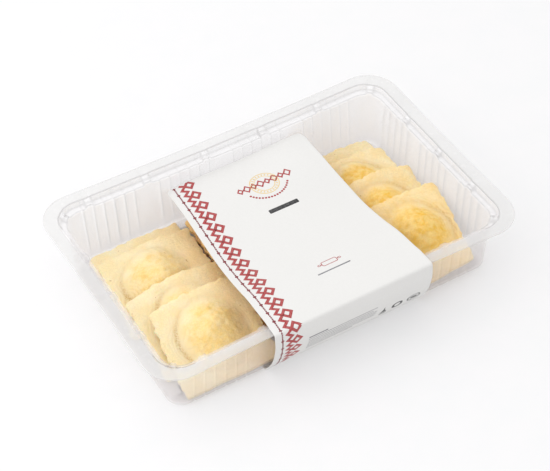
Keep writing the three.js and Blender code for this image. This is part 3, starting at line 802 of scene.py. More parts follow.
def rest_height(square, x, y, look):
    """Underside before draping: bilinear between the corner heights, an arch that grows to the
    rear, and a slow wave that lifts and drops the free rim."""
    u, v = to_local(square, x, y)
    across = np.clip((u + 1) / 2, -0.1, 1.1)
    back = np.clip((v + 1) / 2, -0.1, 1.1)
    rear = mix(*square["rise"], across)
    front = mix(*square["rest"], across)
    arch = square["arch"] * np.clip(1 - u * u, 0, None) * np.clip(back, 0, 1) ** 2
    free = rise(np.maximum(np.abs(u), np.abs(v)), 0.6, 1.0)
    wave = look.rim_wave * 1000 * own_ripples(square, x, y, 21, "rim") * free
    return FLOOR + mix(front, rear, back) + arch + np.maximum(wave, -MOST_SAG)


def dough_thickness(share, look):
    """Two sheets pressed together, thinner towards the cut edge by a quadratic ease."""
    edge = np.clip((share - 1 + EDGE_BAND) / EDGE_BAND, 0, 1)
    return look.dough * 1000 * (1 - EDGE_THINNING * edge ** 2)


def filling_parts(square, x, y, look):
    """Height that the filling adds, the painted shade in its creases, and the share of the
    filling's radius: a raised-cosine dome, soft lumps on it, a pressed groove round it and
    concentric wrinkles on one side, within two windows inside and outside of the groove. The
    painted shade lies on and beside the groove and in the wrinkles' troughs."""
    cx, cy = filling_centre(square)
    radius, height, _, _ = square["filling"]
    distance = np.hypot(x - cx, y - cy)
    angle = np.arctan2(y - cy, x - cx)
    uneven = own_ripples(square, np.cos(angle) * 20, np.sin(angle) * 20, 22, "outline")
    share = distance / (radius * (1 + FILLING_WOBBLE * uneven))
    depth = np.exp(-(((share - GROOVE_SHARE) / GROOVE_WIDTH) ** 2))
    shade = np.exp(-(((share - GROOVE_SHARE) / GROOVE_SHADE_WIDTH) ** 2))
    middle, strength = square["wrinkle"]
    off = np.angle(np.exp(1j * (angle - math.radians(middle))))
    side = np.exp(-(off / WRINKLE_SPREAD) ** 2) * strength
    firmness = np.clip(0.28 + 0.85 * side + 0.18 * own_ripples(square, x, y, 30, "firmness"),
                       0, 1.6)
    half_cosine = 0.5 + 0.5 * np.cos(np.pi * np.clip(share, 0, 1))
    dome = height * np.where(share < 1, half_cosine, 0) ** DOME_FULLNESS
    lumps = (look.lump_height * 1000 * (1 - rise(share, 0.55, 0.98))
             * (0.8 * own_ripples(square, x, y, 9.5, "lumps")
                + 0.35 * own_ripples(square, x, y, 4.6, "small lumps")))

    outside = rise(share, 1.0, 1.1) * (1 - rise(share, 1.25, 1.42))
    inside = rise(share, 0.55, 0.7) * (1 - rise(share, 0.86, 0.98))
    bent = distance + 2.2 * own_ripples(square, x, y, 13, "wrinkles")
    wave = np.cos(2 * np.pi * bent / WRINKLE_PITCH)
    wrinkles = look.wrinkle * 1000 * wave * side * (outside + 0.5 * inside)
    raised = dome + lumps + wrinkles - look.groove_depth * 1000 * firmness * depth
    # Painted shade on and beside the groove, and in the wrinkles' troughs
    crease_shade = (0.3 * depth + 0.22 * shade) * firmness ** 1.3
    crease_shade = crease_shade + 0.22 * np.clip(-wave, 0, 1) * side * (outside + inside)
    return raised, crease_shade, share


def top_height(column, order, x, y, look):
    """Top of a square: rest + dough + filling, lifted by a smooth maximum over every square
    behind it in its column."""
    square = column[order]
    thickness = dough_thickness(edge_share(square, *to_local(square, x, y), look), look)
    height = rest_height(square, x, y, look) + thickness + filling_parts(square, x, y, look)[0]
    for below in range(order):
        support = support_height(column, below, x, y, look)
        height = smooth_max(height, support + CLEARANCE + thickness, DRAPE_BLEND)
    return height


def under_height(column, order, x, y, look):
    """Underside of a square: its rest height or, where higher, the tops behind it plus the gap."""
    height = rest_height(column[order], x, y, look)
    for below in range(order):
        support = support_height(column, below, x, y, look)
        height = smooth_max(height, support + CLEARANCE, UNDER_BLEND)
    return height


def support_height(column, order, x, y, look):
    """Top of a lower square; beyond its edge, the nearest edge height less the skirt's slope
    times the distance."""
    square = column[order]
    u, v = to_local(square, x, y)
    shrink = np.minimum(1, 1 / np.maximum(edge_share(square, u, v, look), 1e-9))
    near_x, near_y = to_world(square, u * shrink, v * shrink)
    height = top_height(column, order, near_x, near_y, look)
    return height - SKIRT_SLOPE * np.hypot(x - near_x, y - near_y)


def square_surface(column, order, look, tones):
    """A dough square as one closed surface. Rings in plan are circles round the filling that
    turn into the cut outline; the rows run over the top to the edge, round the edge as a half
    circle flattened by the cut, and back underneath. Against the front wall the dough is
    pressed flat."""
    square = column[order]
    cx, cy = filling_centre(square)
    even = np.linspace(-1, 1, look.side_points, endpoint=False)
    along = (even + np.sin(even * np.pi / 2)) / 2
    angle = np.concatenate([np.arctan2(along, 1) + side * np.pi / 2 for side in range(4)])
    reach = edge_distance(square, angle, look)
    edge_x, edge_y = to_world(square, reach * np.cos(angle), reach * np.sin(angle))
    edge_y = np.maximum(edge_y, FRONT_WALL_Y)
    circle = square["filling"][0] * GROOVE_SHARE / np.hypot(edge_x - cx, edge_y - cy)

    def plan(shares):
        """Rings at shares: 0 the middle, 1 the groove round the filling, 2 the cut edge."""
        share = np.asarray(shares)
        outward = mix(circle * np.minimum(share, 1), 1, np.clip(share - 1, 0, 1))
        return cx + (edge_x - cx) * outward, cy + (edge_y - cy) * outward

    top_shares = np.concatenate([np.linspace(0.03, 1, 38), np.linspace(1.03, EDGE_START, 24)])
    top_x, top_y = plan(top_shares[:, None])
    top_z = top_height(column, order, top_x, top_y, look)
    under_shares = np.concatenate([np.linspace(EDGE_START, 1, 12), np.linspace(0.9, 0.1, 6)])
    under_x, under_y = plan(under_shares[:, None])
    under_z = np.minimum(under_height(column, order, under_x, under_y, look),
                         top_height(column, order, under_x, under_y, look) - LEAST_DOUGH)

    turn = np.linspace(0, np.pi, 8)[1:-1, None]
    rim_x, rim_y = plan(EDGE_START + (2 - EDGE_START) * np.sin(turn) ** 0.6)
    high, low = top_z[-1], under_z[0]
    rim_z = (high + low) / 2 + (high - low) / 2 * np.cos(turn)
    rings = [np.concatenate(rows) for rows in ((top_x, rim_x, under_x), (top_y, rim_y, under_y),
                                               (top_z, rim_z, under_z))]
    surface = closed_surface(np.stack(rings, axis=-1))

    x, y, _ = surface[0].T
    _, crease_shade, share = filling_parts(square, x, y, look)
    filled = 1 - rise(share, 0.5, 1.08)
    seen = np.ones(len(x))
    seen[(len(top_shares) + len(turn)) * len(angle):-2] = 0
    # Painted warm shade beside the sleeve, and partly painted shade that warms the front squares
    beside = np.exp(-np.clip(sleeve_gap(x, y), 0, None) / WARM_SHADE_REACH)
    attributes = {
        "filling": mix(tones[3] * order / 3, 1.0, filled) * seen * tones[0],
        "crease_shade": np.clip(crease_shade * seen, 0, 1),
        "warm_shade": np.clip(tones[2] * beside + tones[1] * order / 3, 0, 1),
    }
    return surface, attributes


def sleeve_gap(x, y):
    """Distance in x from the sleeve's left or right edge, whichever is on this side of the
    pack's middle."""
    share = np.clip((y - FRONT_Y) / (WARM_REAR_Y - FRONT_Y), 0, 1)
    left, right = (mix(EDGE_AT_FRONT[k], EDGE_AT_TUCK[k], share) for k in range(2))
    return np.where(x < 0, left - x, x - right)


# Card sleeve

def fold_points(centre, radius, from_degrees, to_degrees, steps):
    """Points on a fold: a circular arc between two angles."""
    angle = np.radians(np.linspace(from_degrees, to_degrees, steps + 1))
    return np.stack([centre[0] + radius * np.cos(angle), centre[1] + radius * np.sin(angle)],
                    axis=1)


def spline_points(through, steps):
    """Points on a uniform Catmull-Rom curve: in each span, the cubic through its two ends whose
    slopes are half the difference of the neighbours."""
    through = np.asarray(through, dtype=float)
    last = len(through) - 1
    position = np.linspace(0, 1, steps + 1) * last
    span = np.minimum(position.astype(int), last - 1)
    t = (position - span)[:, None]
    before = through[np.maximum(span - 1, 0)]
    start = through[span]
    end = through[span + 1]
    after = through[np.minimum(span + 2, last)]
    slope_start = (end - before) / 2
    slope_end = (after - start) / 2
    return ((2 * start - 2 * end + slope_start + slope_end) * t ** 3
            + (-3 * start + 3 * end - 2 * slope_start - slope_end) * t ** 2
            + slope_start * t + start)


def card_path():
    """Outer face of the sleeve in the y-z plane with the arc length along it, counted from the
    print's zero near the rear fold, and the y-z normal at each point."""
    top = spline_points(BAND_TOP, 110)
    slope = math.degrees(math.atan2(top[5][1] - top[0][1], top[0][0] - top[5][0]))
    turn = math.radians(90 - slope)
    tuck_centre = top[0] - TUCK_RADIUS * np.array([math.cos(turn), math.sin(turn)])
    tuck = fold_points(tuck_centre, TUCK_RADIUS, 0, 90 - slope, 10)
    flap = np.stack([np.full(8, tuck[0][0]), np.linspace(TUCK_BOTTOM, tuck[0][1], 9)[:-1]], axis=1)
    front_centre = (FRONT_Y + FRONT_RADIUS, RIM_HEIGHT + TRAY_BASE - FRONT_RADIUS)
    front = fold_points(front_centre, FRONT_RADIUS, 90, 180, 12)
    above, below = BAND_PANEL[-2:]
    lean = math.degrees(math.atan2(below[0] - above[0], above[1] - below[1]))
    foot_centre = (FOOT_Y + FOOT_RADIUS, FOOT_RADIUS - TRAY_BASE)
    foot = fold_points(foot_centre, FOOT_RADIUS, 180 + lean, 270, 10)
    panel = spline_points([front[-1], *BAND_PANEL, foot[0]], 48)
    under = np.stack([np.linspace(foot[-1][0], BAND_REAR_Y, 31)[1:], np.full(30, -TRAY_BASE)],
                     axis=1)
    path = np.concatenate([flap, tuck[:-1], top, front, panel[1:-1], foot, under])
    lengths = np.hypot(*np.diff(path, axis=0).T)
    distance = np.concatenate([[0], np.cumsum(lengths)])
    start = len(flap) + len(tuck) - 1
    on_top = slice(start, start + len(top))
    distance -= np.interp(-PRINT_ZERO_Y, -path[on_top, 0], distance[on_top])
    along = np.gradient(path, axis=0)
    along /= np.linalg.norm(along, axis=1, keepdims=True)
    normal = np.stack([along[:, 1], -along[:, 0]], axis=1)
    return path, distance, normal


CARD_PATH, CARD_DISTANCE, CARD_NORMAL = card_path()
FRONT_FOLD_AT = CARD_DISTANCE[np.argmax(CARD_PATH[:, 0] < FRONT_Y + FRONT_RADIUS * 0.3)]


def along_card(distance, values):
    """Both coordinates of a value along the card's section at a distance along it."""
    return (np.interp(distance, CARD_DISTANCE, values[:, k]) for k in range(2))


def card_edges(distance):
    """Left and right edge of the sleeve at a distance along it, before its corners are
    rounded."""
    y, z = along_card(distance, CARD_PATH)
    share = np.clip((y - FRONT_Y) / (CARD_PATH[0, 0] - FRONT_Y), 0, 1)
    drop = np.clip((RIM_HEIGHT - z) / RIM_HEIGHT, 0, 1)
    return [np.where(distance < FRONT_FOLD_AT,
                     mix(EDGE_AT_FRONT[k], EDGE_AT_TUCK[k], share),
                     mix(EDGE_AT_FRONT[k], EDGE_AT_FOOT[k], drop)) for k in range(2)]


def card_point(x, distance, lift):
    """Point on the sleeve's outer face at x and a distance along it, lifted along the face's
    normal. The card bends by a tenth of a millimetre over its length, and its rear edge rises
    to the right and dips at its left end."""
    y, z = along_card(distance, CARD_PATH)
    normal_y, normal_z = along_card(distance, CARD_NORMAL)
    flat = rise(distance, 3, 20) * (1 - rise(distance, 118, 130))
    out = lift + CARD_BEND * ripples(x, distance, 70, 3) * flat
    raised = REAR_LIFT * rise(x, 3, 46) * (1 - rise(distance, 0, 40))
    dip = REAR_DIP * (1 - rise(x, -40, -27))
    raised = raised + (REAR_SPRING - dip) * (1 - rise(distance, 0, 14))
    height = z + normal_z * out + raised + TRAY_BASE
    return np.stack(np.broadcast_arrays(x, y + normal_y * out, height), axis=-1)


def sleeve_surface(look):
    """The card as a closed strip: across it, a row of places from its left to its right edge on
    the outer face and back on the inner one. Where the top turns down at the rear, both edges
    draw in by R - √(R² - (R - d)²), which rounds its corners, and the flap beyond narrows."""
    card = look.thickness * 1000
    distance = CARD_DISTANCE[:, None]
    left, right = card_edges(CARD_DISTANCE)
    beyond = CARD_DISTANCE - REAR_FOLD_AT
    for radius, edge, sign in ((look.left_corner * 1000, left, 1),
                               (look.right_corner * 1000, right, -1)):
        near = np.clip(radius - beyond, 0, radius)
        rounded = radius - np.sqrt(radius ** 2 - near ** 2)
        edge += sign * np.where(beyond > 0, rounded, radius - FLAP_NARROWING * beyond)
    across = np.concatenate([[0, 0.004], np.linspace(0.03, 0.97, 24), [0.996, 1]])
    x = mix(left[:, None], right[:, None], across[None, :])
    outer = card_point(x, distance, 0.0)
    inner = card_point(x, distance, -card)
    edge_round = card_point(x[:, [0, -1]], distance, -card / 2)
    edge_round[:, :, 0] += EDGE_BULGE * np.array([-1, 1])
    rings = np.concatenate([edge_round[:, :1], outer, edge_round[:, 1:], inner[:, ::-1]], axis=1)
    return closed_surface(rings)


# Print


def printed(x, distance, lift):
    """Point of the print on the card. Towards the rear the rows draw together, and down the
    front panel the print moves up."""
    drawn = REAR_DRAW * np.clip(1 - distance / 25, 0, None) ** 2
    return card_point(x, distance + drawn - PANEL_DRAW * rise(distance, 138, 174), lift)


def stroke(points, width, closed=False):
    """One printed line as a thin closed ribbon on the card. points are (x, distance along the
    card); the line is cut into steps, its sides stand half a width off along the mean of the
    neighbouring normals, lengthened at corners so that the width holds."""
    points = np.asarray(points, dtype=float)
    if closed:
        points = np.concatenate([points, points[:1]])
    lengths = np.hypot(*np.diff(points, axis=0).T)
    counts = np.maximum(1, np.ceil(lengths / STROKE_STEP)).astype(int)
    line = np.concatenate([points[k] + (points[k + 1] - points[k]) * (np.arange(n) / n)[:, None]
                           for k, n in enumerate(counts)])
    if closed:
        after = np.roll(line, -1, axis=0) - line
        before = np.roll(after, 1, axis=0)
    else:
        line = np.concatenate([line, points[-1:]])
        ways = np.diff(line, axis=0)
        before = np.concatenate([ways[:1], ways])
        after = np.concatenate([ways, ways[-1:]])
    before = before / np.linalg.norm(before, axis=1, keepdims=True)
    after = after / np.linalg.norm(after, axis=1, keepdims=True)
    normal = (before + after)[:, ::-1] * [-1, 1]
    normal /= np.maximum(np.linalg.norm(normal, axis=1, keepdims=True), 1e-6)
    cosine = np.clip(normal[:, 0] * -before[:, 1] + normal[:, 1] * before[:, 0], 0.35, 1)
    offset = normal * (width / 2 / cosine)[:, None]
    across = np.linspace(-1, 1, 5)
    corners = [(line + offset * share, lift) for shares, lift in
               ((across, PRINT_ROOT), (across[::-1], PRINT_LIFT)) for share in shares]
    rings = np.stack([printed(*side.T, lift) for side, lift in corners], axis=1)
    return ring_surface(rings) if closed else closed_surface(rings)


def patch(outline):
    """A filled printed shape: a thin closed disc over an outline of (x, distance) points."""
    outline = np.asarray(outline, dtype=float)
    centre = outline.mean(axis=0)
    return closed_surface(np.stack([
        printed(*(centre + (outline - centre) * share).T, lift)
        for share, lift in ((0.5, PRINT_LIFT), (1, PRINT_LIFT), (1, PRINT_ROOT), (0.5, PRINT_ROOT))
    ]))


def diamond(x, distance, half_x, half_along):
    """Corner points of a diamond."""
    return [(x - half_x, distance), (x, distance + half_along),
            (x + half_x, distance), (x, distance - half_along)]


def circle(x, distance, radius, count=40):
    """Points of a circle."""
    angle = np.linspace(0, 2 * np.pi, count, endpoint=False)
    return np.stack([x + radius * np.cos(angle), distance + radius * np.sin(angle)], axis=1)


def rounded_bar(x, distance, half_x, half_along, radius):
    """Points of a rounded bar centred on (x, distance)."""
    angle = np.linspace(0, np.pi / 2, 6)
    quarter = np.stack([half_x - radius + radius * np.cos(angle),
                        half_along - radius + radius * np.sin(angle)], axis=1)
    ring = np.concatenate([quarter, quarter[::-1] * [-1, 1], -quarter, quarter[::-1] * [1, -1]])
    return ring + [x, distance]


def line_x(at, look):
    """Place of the border's dotted line at a distance along the card."""
    return card_edges(np.asarray(at, dtype=float))[0] + look.border_inset * 1000


def dotted_shapes(look):
    """Dashes with a small diamond after every fifth one."""
    shapes = []
    stops = np.arange(FIRST_DOT, BORDER_END, DOT_PITCH)
    ends = [BORDER_START, *stops, BORDER_END]
    for start, stop in zip(ends[:-1], ends[1:]):
        for at in np.arange(start + 0.9, stop - 0.9, DASH_PITCH):
            to = min(at + DASH, stop - 0.7)
            if to - at > 0.3:
                shapes.append(stroke([(line_x(at, look), at), (line_x(to, look), to)],
                                     DASH_WIDTH))
    shapes += [patch(diamond(line_x(at, look), at, 1.1, 1.3)) for at in stops]
    return join_surfaces(shapes)


def border_shapes(look):
    """The woven border down the sleeve's left side: a zigzag and hollow diamonds that hang on
    every second point of it."""
    width = look.border_stroke * 1000
    sides = look.zigzag_right * 1000, look.zigzag_left * 1000
    turns = np.arange(-1, int(BORDER_END / ZIGZAG_STEP))
    zigzag = [(line_x(at, look) + sides[turn % 2], at)
              for turn, at in zip(turns, FIRST_DIAMOND + ZIGZAG_STEP * turns)]
    shapes = [stroke(zigzag, width)]
    for at in np.arange(FIRST_DIAMOND, BORDER_END - 3.6, 4 * ZIGZAG_STEP):
        middle = line_x(at, look) + look.diamond_centre * 1000
        shapes.append(stroke(diamond(middle, at, *BORDER_DIAMOND), width, closed=True))
    return join_surfaces(shapes)


def emblem_shapes():
    """Gold wheel: two rings with short bars between them, as a pastry wheel has."""
    shapes = [stroke(circle(*WHEEL, radius), width, closed=True)
              for radius, width in ((8.5, 0.55), (6.0, 0.45))]
    for angle in np.linspace(0, 2 * np.pi, 24, endpoint=False):
        way = np.array([math.cos(angle), math.sin(angle)])
        shapes.append(stroke([WHEEL + way * 6.6, WHEEL + way * 7.8], 0.7))
    return join_surfaces(shapes)


def ornament_shapes():
    """Red chain of lozenges across the wheel, an arc of small dots under it and a rolling pin
    in outline."""
    shapes = []
    for k, x in enumerate(np.linspace(-3.8, 26.8, 8)):
        size = 1.0 if k % 2 else 0.75
        shapes.append(stroke(diamond(x, CHAIN_AT, 2.1 * size, 2.6 * size), 0.9, closed=True))
    for x in np.linspace(-1.6, 24.6, 7):
        shapes.append(patch(diamond(x, CHAIN_AT, 0.65, 0.8)))
    for angle in np.radians(np.linspace(32, 148, 17)):
        x = WHEEL[0] + 14.2 * math.cos(angle)
        shapes.append(patch(circle(x, 22.2 + 13.6 * math.sin(angle), 0.7, 12)))
    x, at = PIN
    shapes.append(stroke(rounded_bar(x, at, 4.6, 1.75, 0.9), 0.42, closed=True))
    for sign in (-1, 1):
        handle = at - sign * 0.1
        shapes.append(stroke([(x + sign * 4.9, handle), (x + sign * 5.6, handle)], 0.42))
        shapes.append(stroke(rounded_bar(x + sign * 6.3, at, 0.75, 0.6, 0.3), 0.35, closed=True))
    return join_surfaces(shapes)


def dark_shapes():
    """Dark title bar on the top, and three plain signs at the foot of the front panel."""
    foot = PANEL_FOOT
    return join_surfaces([
        patch(rounded_bar(11.4, 45.8, 9.4, 1.5, 0.5)),
        patch([(20.8, foot), (25.2, foot), (23.0, foot - 7.5)]),
        patch(rounded_bar(23.0, foot + 2.0, 2.3, 0.6, 0.3)),
        stroke(rounded_bar(31.6, foot - 2.8, 2.6, 3.4, 2.5), 1.5, closed=True),
        stroke(rounded_bar(42.2, foot - 2.8, 3.8, 4.0, 3.6), 0.8, closed=True),
        patch(rounded_bar(42.2, foot - 2.8, 2.1, 1.4, 0.9)),
    ])


def grey_shapes():
    """Grey rules: one under the rolling pin, a short and heavy one on the front panel and six
    fine ones under it, ragged on the right."""
    shapes = [patch(rounded_bar(5.8, 108.8, 10.2, 0.45, 0.3)),
              patch(rounded_bar(-20.2, PANEL_FOOT - 16.6, 5.8, 0.7, 0.4))]
    rng = np.random.default_rng(12)
    for k in range(6):
        right = 18.0 - rng.uniform(0, 3.0) - (14 if k == 5 else 0)
        half = (right - RULES_LEFT) / 2
        at = PANEL_FOOT - 14.0 + 2.7 * k
        shapes.append(patch(rounded_bar(right - half, at, half, 0.32, 0.2)))
    return join_surfaces(shapes)


# Sizes and colours that a user would change

def length(name, description, default):
    """A length in metres that a user may change."""
    return FloatProperty(name=name, description=description, default=default, unit="LENGTH")


def factor(name, description, default):
    """A share from 0 to 1 that a user may change."""
    return FloatProperty(name=name, description=description, default=default, min=0, max=1,
                         subtype="FACTOR")


def colour(name, description, hex_colour):
    """A colour that a user may change."""
    return FloatVectorProperty(name=name, description=description, subtype="COLOR",
                               default=linear(hex_colour))


class TrayLook(bpy.types.PropertyGroup):
    rib_height: length("Rib height", "How far each stiffening rib stands in from the wall", 0.0007)
    rib_half_width: length("Rib half width", "Half the width of a rib at its root", 0.0009)
    bridge_rise: length("Bridge rise", "Height of a bridge over the ledge at its inner edge",
                        0.0014)
    milkiness: factor("Milkiness", "Share of light that one face of a wall stops", 0.24)
    flange_milkiness: factor("Flange milkiness",
                             "Share of light that one face of the flange stops", 0.36)
    roughness: factor("Roughness", "Micro roughness of the formed sheet", 0.22)
    colour: colour("Colour", "Milky tone of the walls", "#F3F1F2")
    shade: colour("Shade", "Tone where a wall is cloudier", "#EDEAEB")
    # The flange's greyer colour is partly a painted reflection of darker surroundings, over a
    # milkier, thicker sheet
    flange_colour: colour("Flange colour", "Milky tone of the thicker flange", "#E6E5E4")
    flange_shade: colour("Flange shade", "Tone where the flange is cloudier", "#E0DFDE")


class DoughLook(bpy.types.PropertyGroup):
    dough: length("Dough", "Thickness of the two pressed sheets", 0.0024)
    crinkle: length("Crinkle", "Unevenness of the cut edge", 0.00029)
    rim_wave: length("Rim wave", "Rise and fall of the flat rim", 0.00055)
    lump_height: length("Lumps", "Height of the filling's lumps under the dough", 0.00055)
    groove_depth: length("Groove", "Depth of the pressed groove round the filling", 0.00062)
    wrinkle: length("Wrinkles", "Height of the wrinkles beside the groove", 0.00011)
    side_points: IntProperty(name="Side points", description="Points along each side of a square",
                             default=72)
    rim: colour("Rim", "Dough where it is doubled and dusted", "#FAE6B6")
    dome: colour("Dome", "Dough stretched over the filling", "#F8D57F")
    lump: colour("Filling", "Filling that shows through", "#EFBE3E")
    flour: colour("Flour", "Dusting of flour", "#FCF2D4")
    # The warm colour is a painted warm shade beside the sleeve and on the front squares
    warm: colour("Warm", "Painted warm shade beside the sleeve", "#F4C27C")
    # The groove tone is painted shade in the creases, over thinner dough there
    groove: colour("Groove tone", "Painted shade over thinner dough in the groove", "#B58630")
    speck: colour("Specks", "Bran and pepper specks", "#A8702A")


class SleeveLook(bpy.types.PropertyGroup):
    thickness: length("Thickness", "Thickness of the card", 0.0005)
    left_corner: length("Left rear corner", "Radius of the left rear corner", 0.002)
    right_corner: length("Right rear corner", "Radius of the right rear corner", 0.005)
    border_inset: length("Border inset", "Dotted line from the card's edge", 0.0042)
    zigzag_left: length("Zigzag left", "Zigzag's left points from the dotted line", 0.0030)
    zigzag_right: length("Zigzag right", "Zigzag's right points from the dotted line", 0.0060)
    diamond_centre: length("Diamonds", "Diamonds' middles from the dotted line", 0.0087)
    border_stroke: length("Stroke", "Width of the border's lines", 0.0017)
    card: colour("Card", "Coated card", "#E2E1DF")
    card_shade: colour("Card shade", "Card where the coating is thinner", "#E0DFDD")
    red: colour("Red ink", "Ink of the border", "#AA3A3A")
    dark_red: colour("Dark red ink", "Ink of the dotted line", "#7C2029")
    gold: colour("Gold ink", "Ink of the wheel", "#E6C98C")
    black: colour("Black ink", "Ink of the title bar", "#2A2A2C")
    grey: colour("Grey ink", "Ink of the fine rules", "#828286")


class StageLook(bpy.types.PropertyGroup):
    floor: colour("Floor", "Opal acrylic", "#CAC9CA")
    floor_shade: colour("Floor shade", "Acrylic between its mottle", "#C8C8C9")
    glow: FloatProperty(name="Glow", description="Light that comes through the table", default=0.3)
    floor_width: length("Floor width", "Side of the floor", 8.0)
    ambient: FloatProperty(name="Room light", description="Brightness of the white room",
                           default=0.86)
    key: FloatProperty(name="Key light", description="Power of the overhead soft box in watts",
                       default=7.6)
    fill: FloatProperty(name="Fill light", description="Power of the side soft box in watts",
                        default=1.5)
    lens: FloatProperty(name="Lens", description="Focal length in millimetres", default=114.86)


# Operators

class RAVIOLI_OT_tray(bpy.types.Operator):
    """Forms the clear tray with its ribs, ledge, bridges and flange"""
    bl_idname = "ravioli.tray"
    bl_label = "Form the tray"

    def execute(self, context):
        look = context.scene.ravioli_tray
        surface, attributes, second = tray_surface(look)
        wall = tray_material("thin formed wall of clear polypropylene", look.colour, look.shade,
                             look.milkiness, look.roughness)
        flange = tray_material("thick flange of clear polypropylene", look.flange_colour,
                               look.flange_shade, look.flange_milkiness, look.roughness)
        add_piece("clear_tray", surface, [wall, flange], "tray", attributes,
                  second)
        return {"FINISHED"}


class RAVIOLI_OT_squares(bpy.types.Operator):
    """Lays the twelve squares of filled dough in three shingled columns"""
    bl_idname = "ravioli.squares"
    bl_label = "Lay the squares"

    def execute(self, context):
        look = context.scene.ravioli_dough
        material = dough_material(look)
        for side, column in COLUMNS.items():
            for order in range(len(column)):
                surface, attributes = square_surface(column, order, look, TONES[side])
                add_piece(f"dough_{side}_{order + 1}", surface, [material],
                          f"ravioli_{side}_{order + 1}", attributes)
        return {"FINISHED"}


class RAVIOLI_OT_sleeve(bpy.types.Operator):
    """Folds the card sleeve over the tray"""
    bl_idname = "ravioli.sleeve"
    bl_label = "Fold the sleeve"

    def execute(self, context):
        look = context.scene.ravioli_sleeve
        add_piece("card_sleeve", sleeve_surface(look), [card_material(look)],
                  "sleeve")
        return {"FINISHED"}


class RAVIOLI_OT_print(bpy.types.Operator):
    """Prints the woven border, the wheel and the plain rules on the sleeve"""
    bl_idname = "ravioli.print"
    bl_label = "Print the sleeve"

    def execute(self, context):
        look = context.scene.ravioli_sleeve
        inks = {key: ink_material(f"{key.replace('_', ' ')} offset ink", getattr(look, key))
                for key in ("red", "gold", "black", "grey", "dark_red")}
        for name, shapes, ink in (
            ("print_border", border_shapes(look), "red"),
            ("print_dotted_line", dotted_shapes(look), "dark_red"),
            ("print_wheel", emblem_shapes(), "gold"),
            ("print_ornament", ornament_shapes(), "red"),
            ("print_title_bar", dark_shapes(), "black"),
            ("print_rules", grey_shapes(), "grey"),
        ):
            add_piece(name, shapes, [inks[ink]])
        return {"FINISHED"}


class RAVIOLI_OT_stage(bpy.types.Operator):
    """Sets the pale floor, the soft studio light and the camera"""
    bl_idname = "ravioli.stage"
    bl_label = "Set the stage"

    def execute(self, context):
        scene = context.scene
        look = scene.ravioli_stage
        half = look.floor_width / 2
        mesh = bpy.data.meshes.new("floor")
        mesh.from_pydata([(-half, -half, 0), (half, -half, 0), (half, half, 0), (-half, half, 0)],
                         [], [(0, 1, 2, 3)])
        floor = bpy.data.objects.new("floor", mesh)
        scene.collection.objects.link(floor)
        mesh.materials.append(floor_material(look))

        world = bpy.data.worlds.new("white room")
        world.use_nodes = True
        background = world.node_tree.nodes["Background"]
        background.inputs["Color"].default_value = (1, 1, 1, 1)
        background.inputs["Strength"].default_value = look.ambient
        scene.world = world
        scene.view_settings.view_transform = "Standard"

        add_soft_box("overhead_soft_box", (-0.5, 0.35, 1.0), 1.8, look.key)
        add_soft_box("side_soft_box", (-0.9, -0.2, 0.7), 0.8, look.fill)

        camera_data = bpy.data.cameras.new("photo_camera")
        camera_data.sensor_width = 36
        camera_data.lens = look.lens
        camera_data.clip_start = 0.01
        camera = bpy.data.objects.new("photo_camera", camera_data)
        camera.matrix_world = photo_view()
        scene.collection.objects.link(camera)
        scene.camera = camera
        return {"FINISHED"}


def add_soft_box(name, place, size, power):
    """Square area light at a place in metres, turned to the pack's middle."""
    data = bpy.data.lights.new(name, "AREA")
    data.shape = "SQUARE"
    data.size = size
    data.energy = power
    light = bpy.data.objects.new(name, data)
    light.matrix_world = aimed(np.array(place), np.subtract(place, PACK_MIDDLE), 0.0)
    bpy.context.scene.collection.objects.link(light)


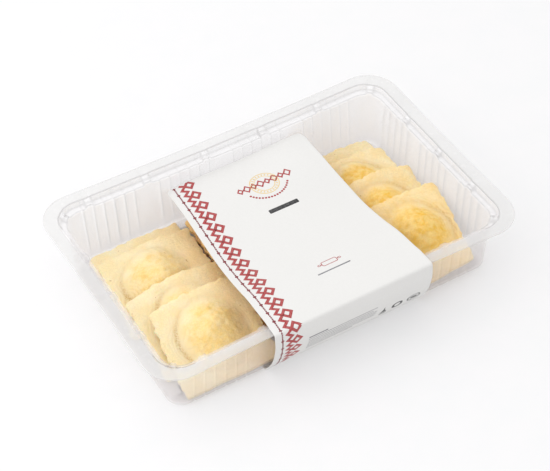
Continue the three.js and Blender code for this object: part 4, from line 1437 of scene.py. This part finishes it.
def aimed(place, back, roll):
    """Matrix of a light or camera at a place whose own z runs along back: its own x is level,
    then turned by roll about that axis."""
    back = back / np.linalg.norm(back)
    level = np.cross([0, 0, 1], back)
    level = level / np.linalg.norm(level)
    upright = np.cross(back, level)
    right = math.cos(roll) * level + math.sin(roll) * upright
    up = -math.sin(roll) * level + math.cos(roll) * upright
    matrix = np.eye(4)
    matrix[:3, 0] = right
    matrix[:3, 1] = up
    matrix[:3, 2] = back
    matrix[:3, 3] = place
    return Matrix(matrix.tolist())


def photo_view():
    """Camera matrix of the photograph: azimuth, elevation and roll in degrees, place in
    metres."""
    azimuth, elevation = math.radians(VIEW_AZIMUTH), math.radians(VIEW_ELEVATION)
    back = np.array([math.sin(azimuth) * math.cos(elevation),
                     -math.cos(azimuth) * math.cos(elevation),
                     math.sin(elevation)])
    return aimed(np.array(VIEW_PLACE), back, math.radians(VIEW_ROLL))


class RAVIOLI_PT_panel(bpy.types.Panel):
    """Lists the steps that build the pack"""
    bl_idname = "RAVIOLI_PT_panel"
    bl_label = "Tray of ravioli"
    bl_space_type = "VIEW_3D"
    bl_region_type = "UI"
    bl_category = "Ravioli"

    def draw(self, context):
        layout = self.layout
        for operator in OPERATORS:
            layout.operator(operator.bl_idname)
        for group in GROUPS:
            look = getattr(context.scene, group)
            box = layout.box()
            for key in look.__annotations__:
                box.prop(look, key)


OPERATORS = (RAVIOLI_OT_tray, RAVIOLI_OT_squares, RAVIOLI_OT_sleeve, RAVIOLI_OT_print,
             RAVIOLI_OT_stage)
GROUPS = {
    "ravioli_tray": TrayLook,
    "ravioli_dough": DoughLook,
    "ravioli_sleeve": SleeveLook,
    "ravioli_stage": StageLook,
}


def register():
    for group in GROUPS.values():
        bpy.utils.register_class(group)
    for operator in OPERATORS:
        bpy.utils.register_class(operator)
    bpy.utils.register_class(RAVIOLI_PT_panel)
    for name, group in GROUPS.items():
        setattr(bpy.types.Scene, name, PointerProperty(type=group))


def unregister():
    for name in GROUPS:
        delattr(bpy.types.Scene, name)
    bpy.utils.unregister_class(RAVIOLI_PT_panel)
    for operator in reversed(OPERATORS):
        bpy.utils.unregister_class(operator)
    for group in reversed(GROUPS.values()):
        bpy.utils.unregister_class(group)


def main():
    register()
    bpy.ops.ravioli.tray()
    bpy.ops.ravioli.squares()
    bpy.ops.ravioli.sleeve()
    bpy.ops.ravioli.print()
    bpy.ops.ravioli.stage()


if __name__ == "__main__":
    main()
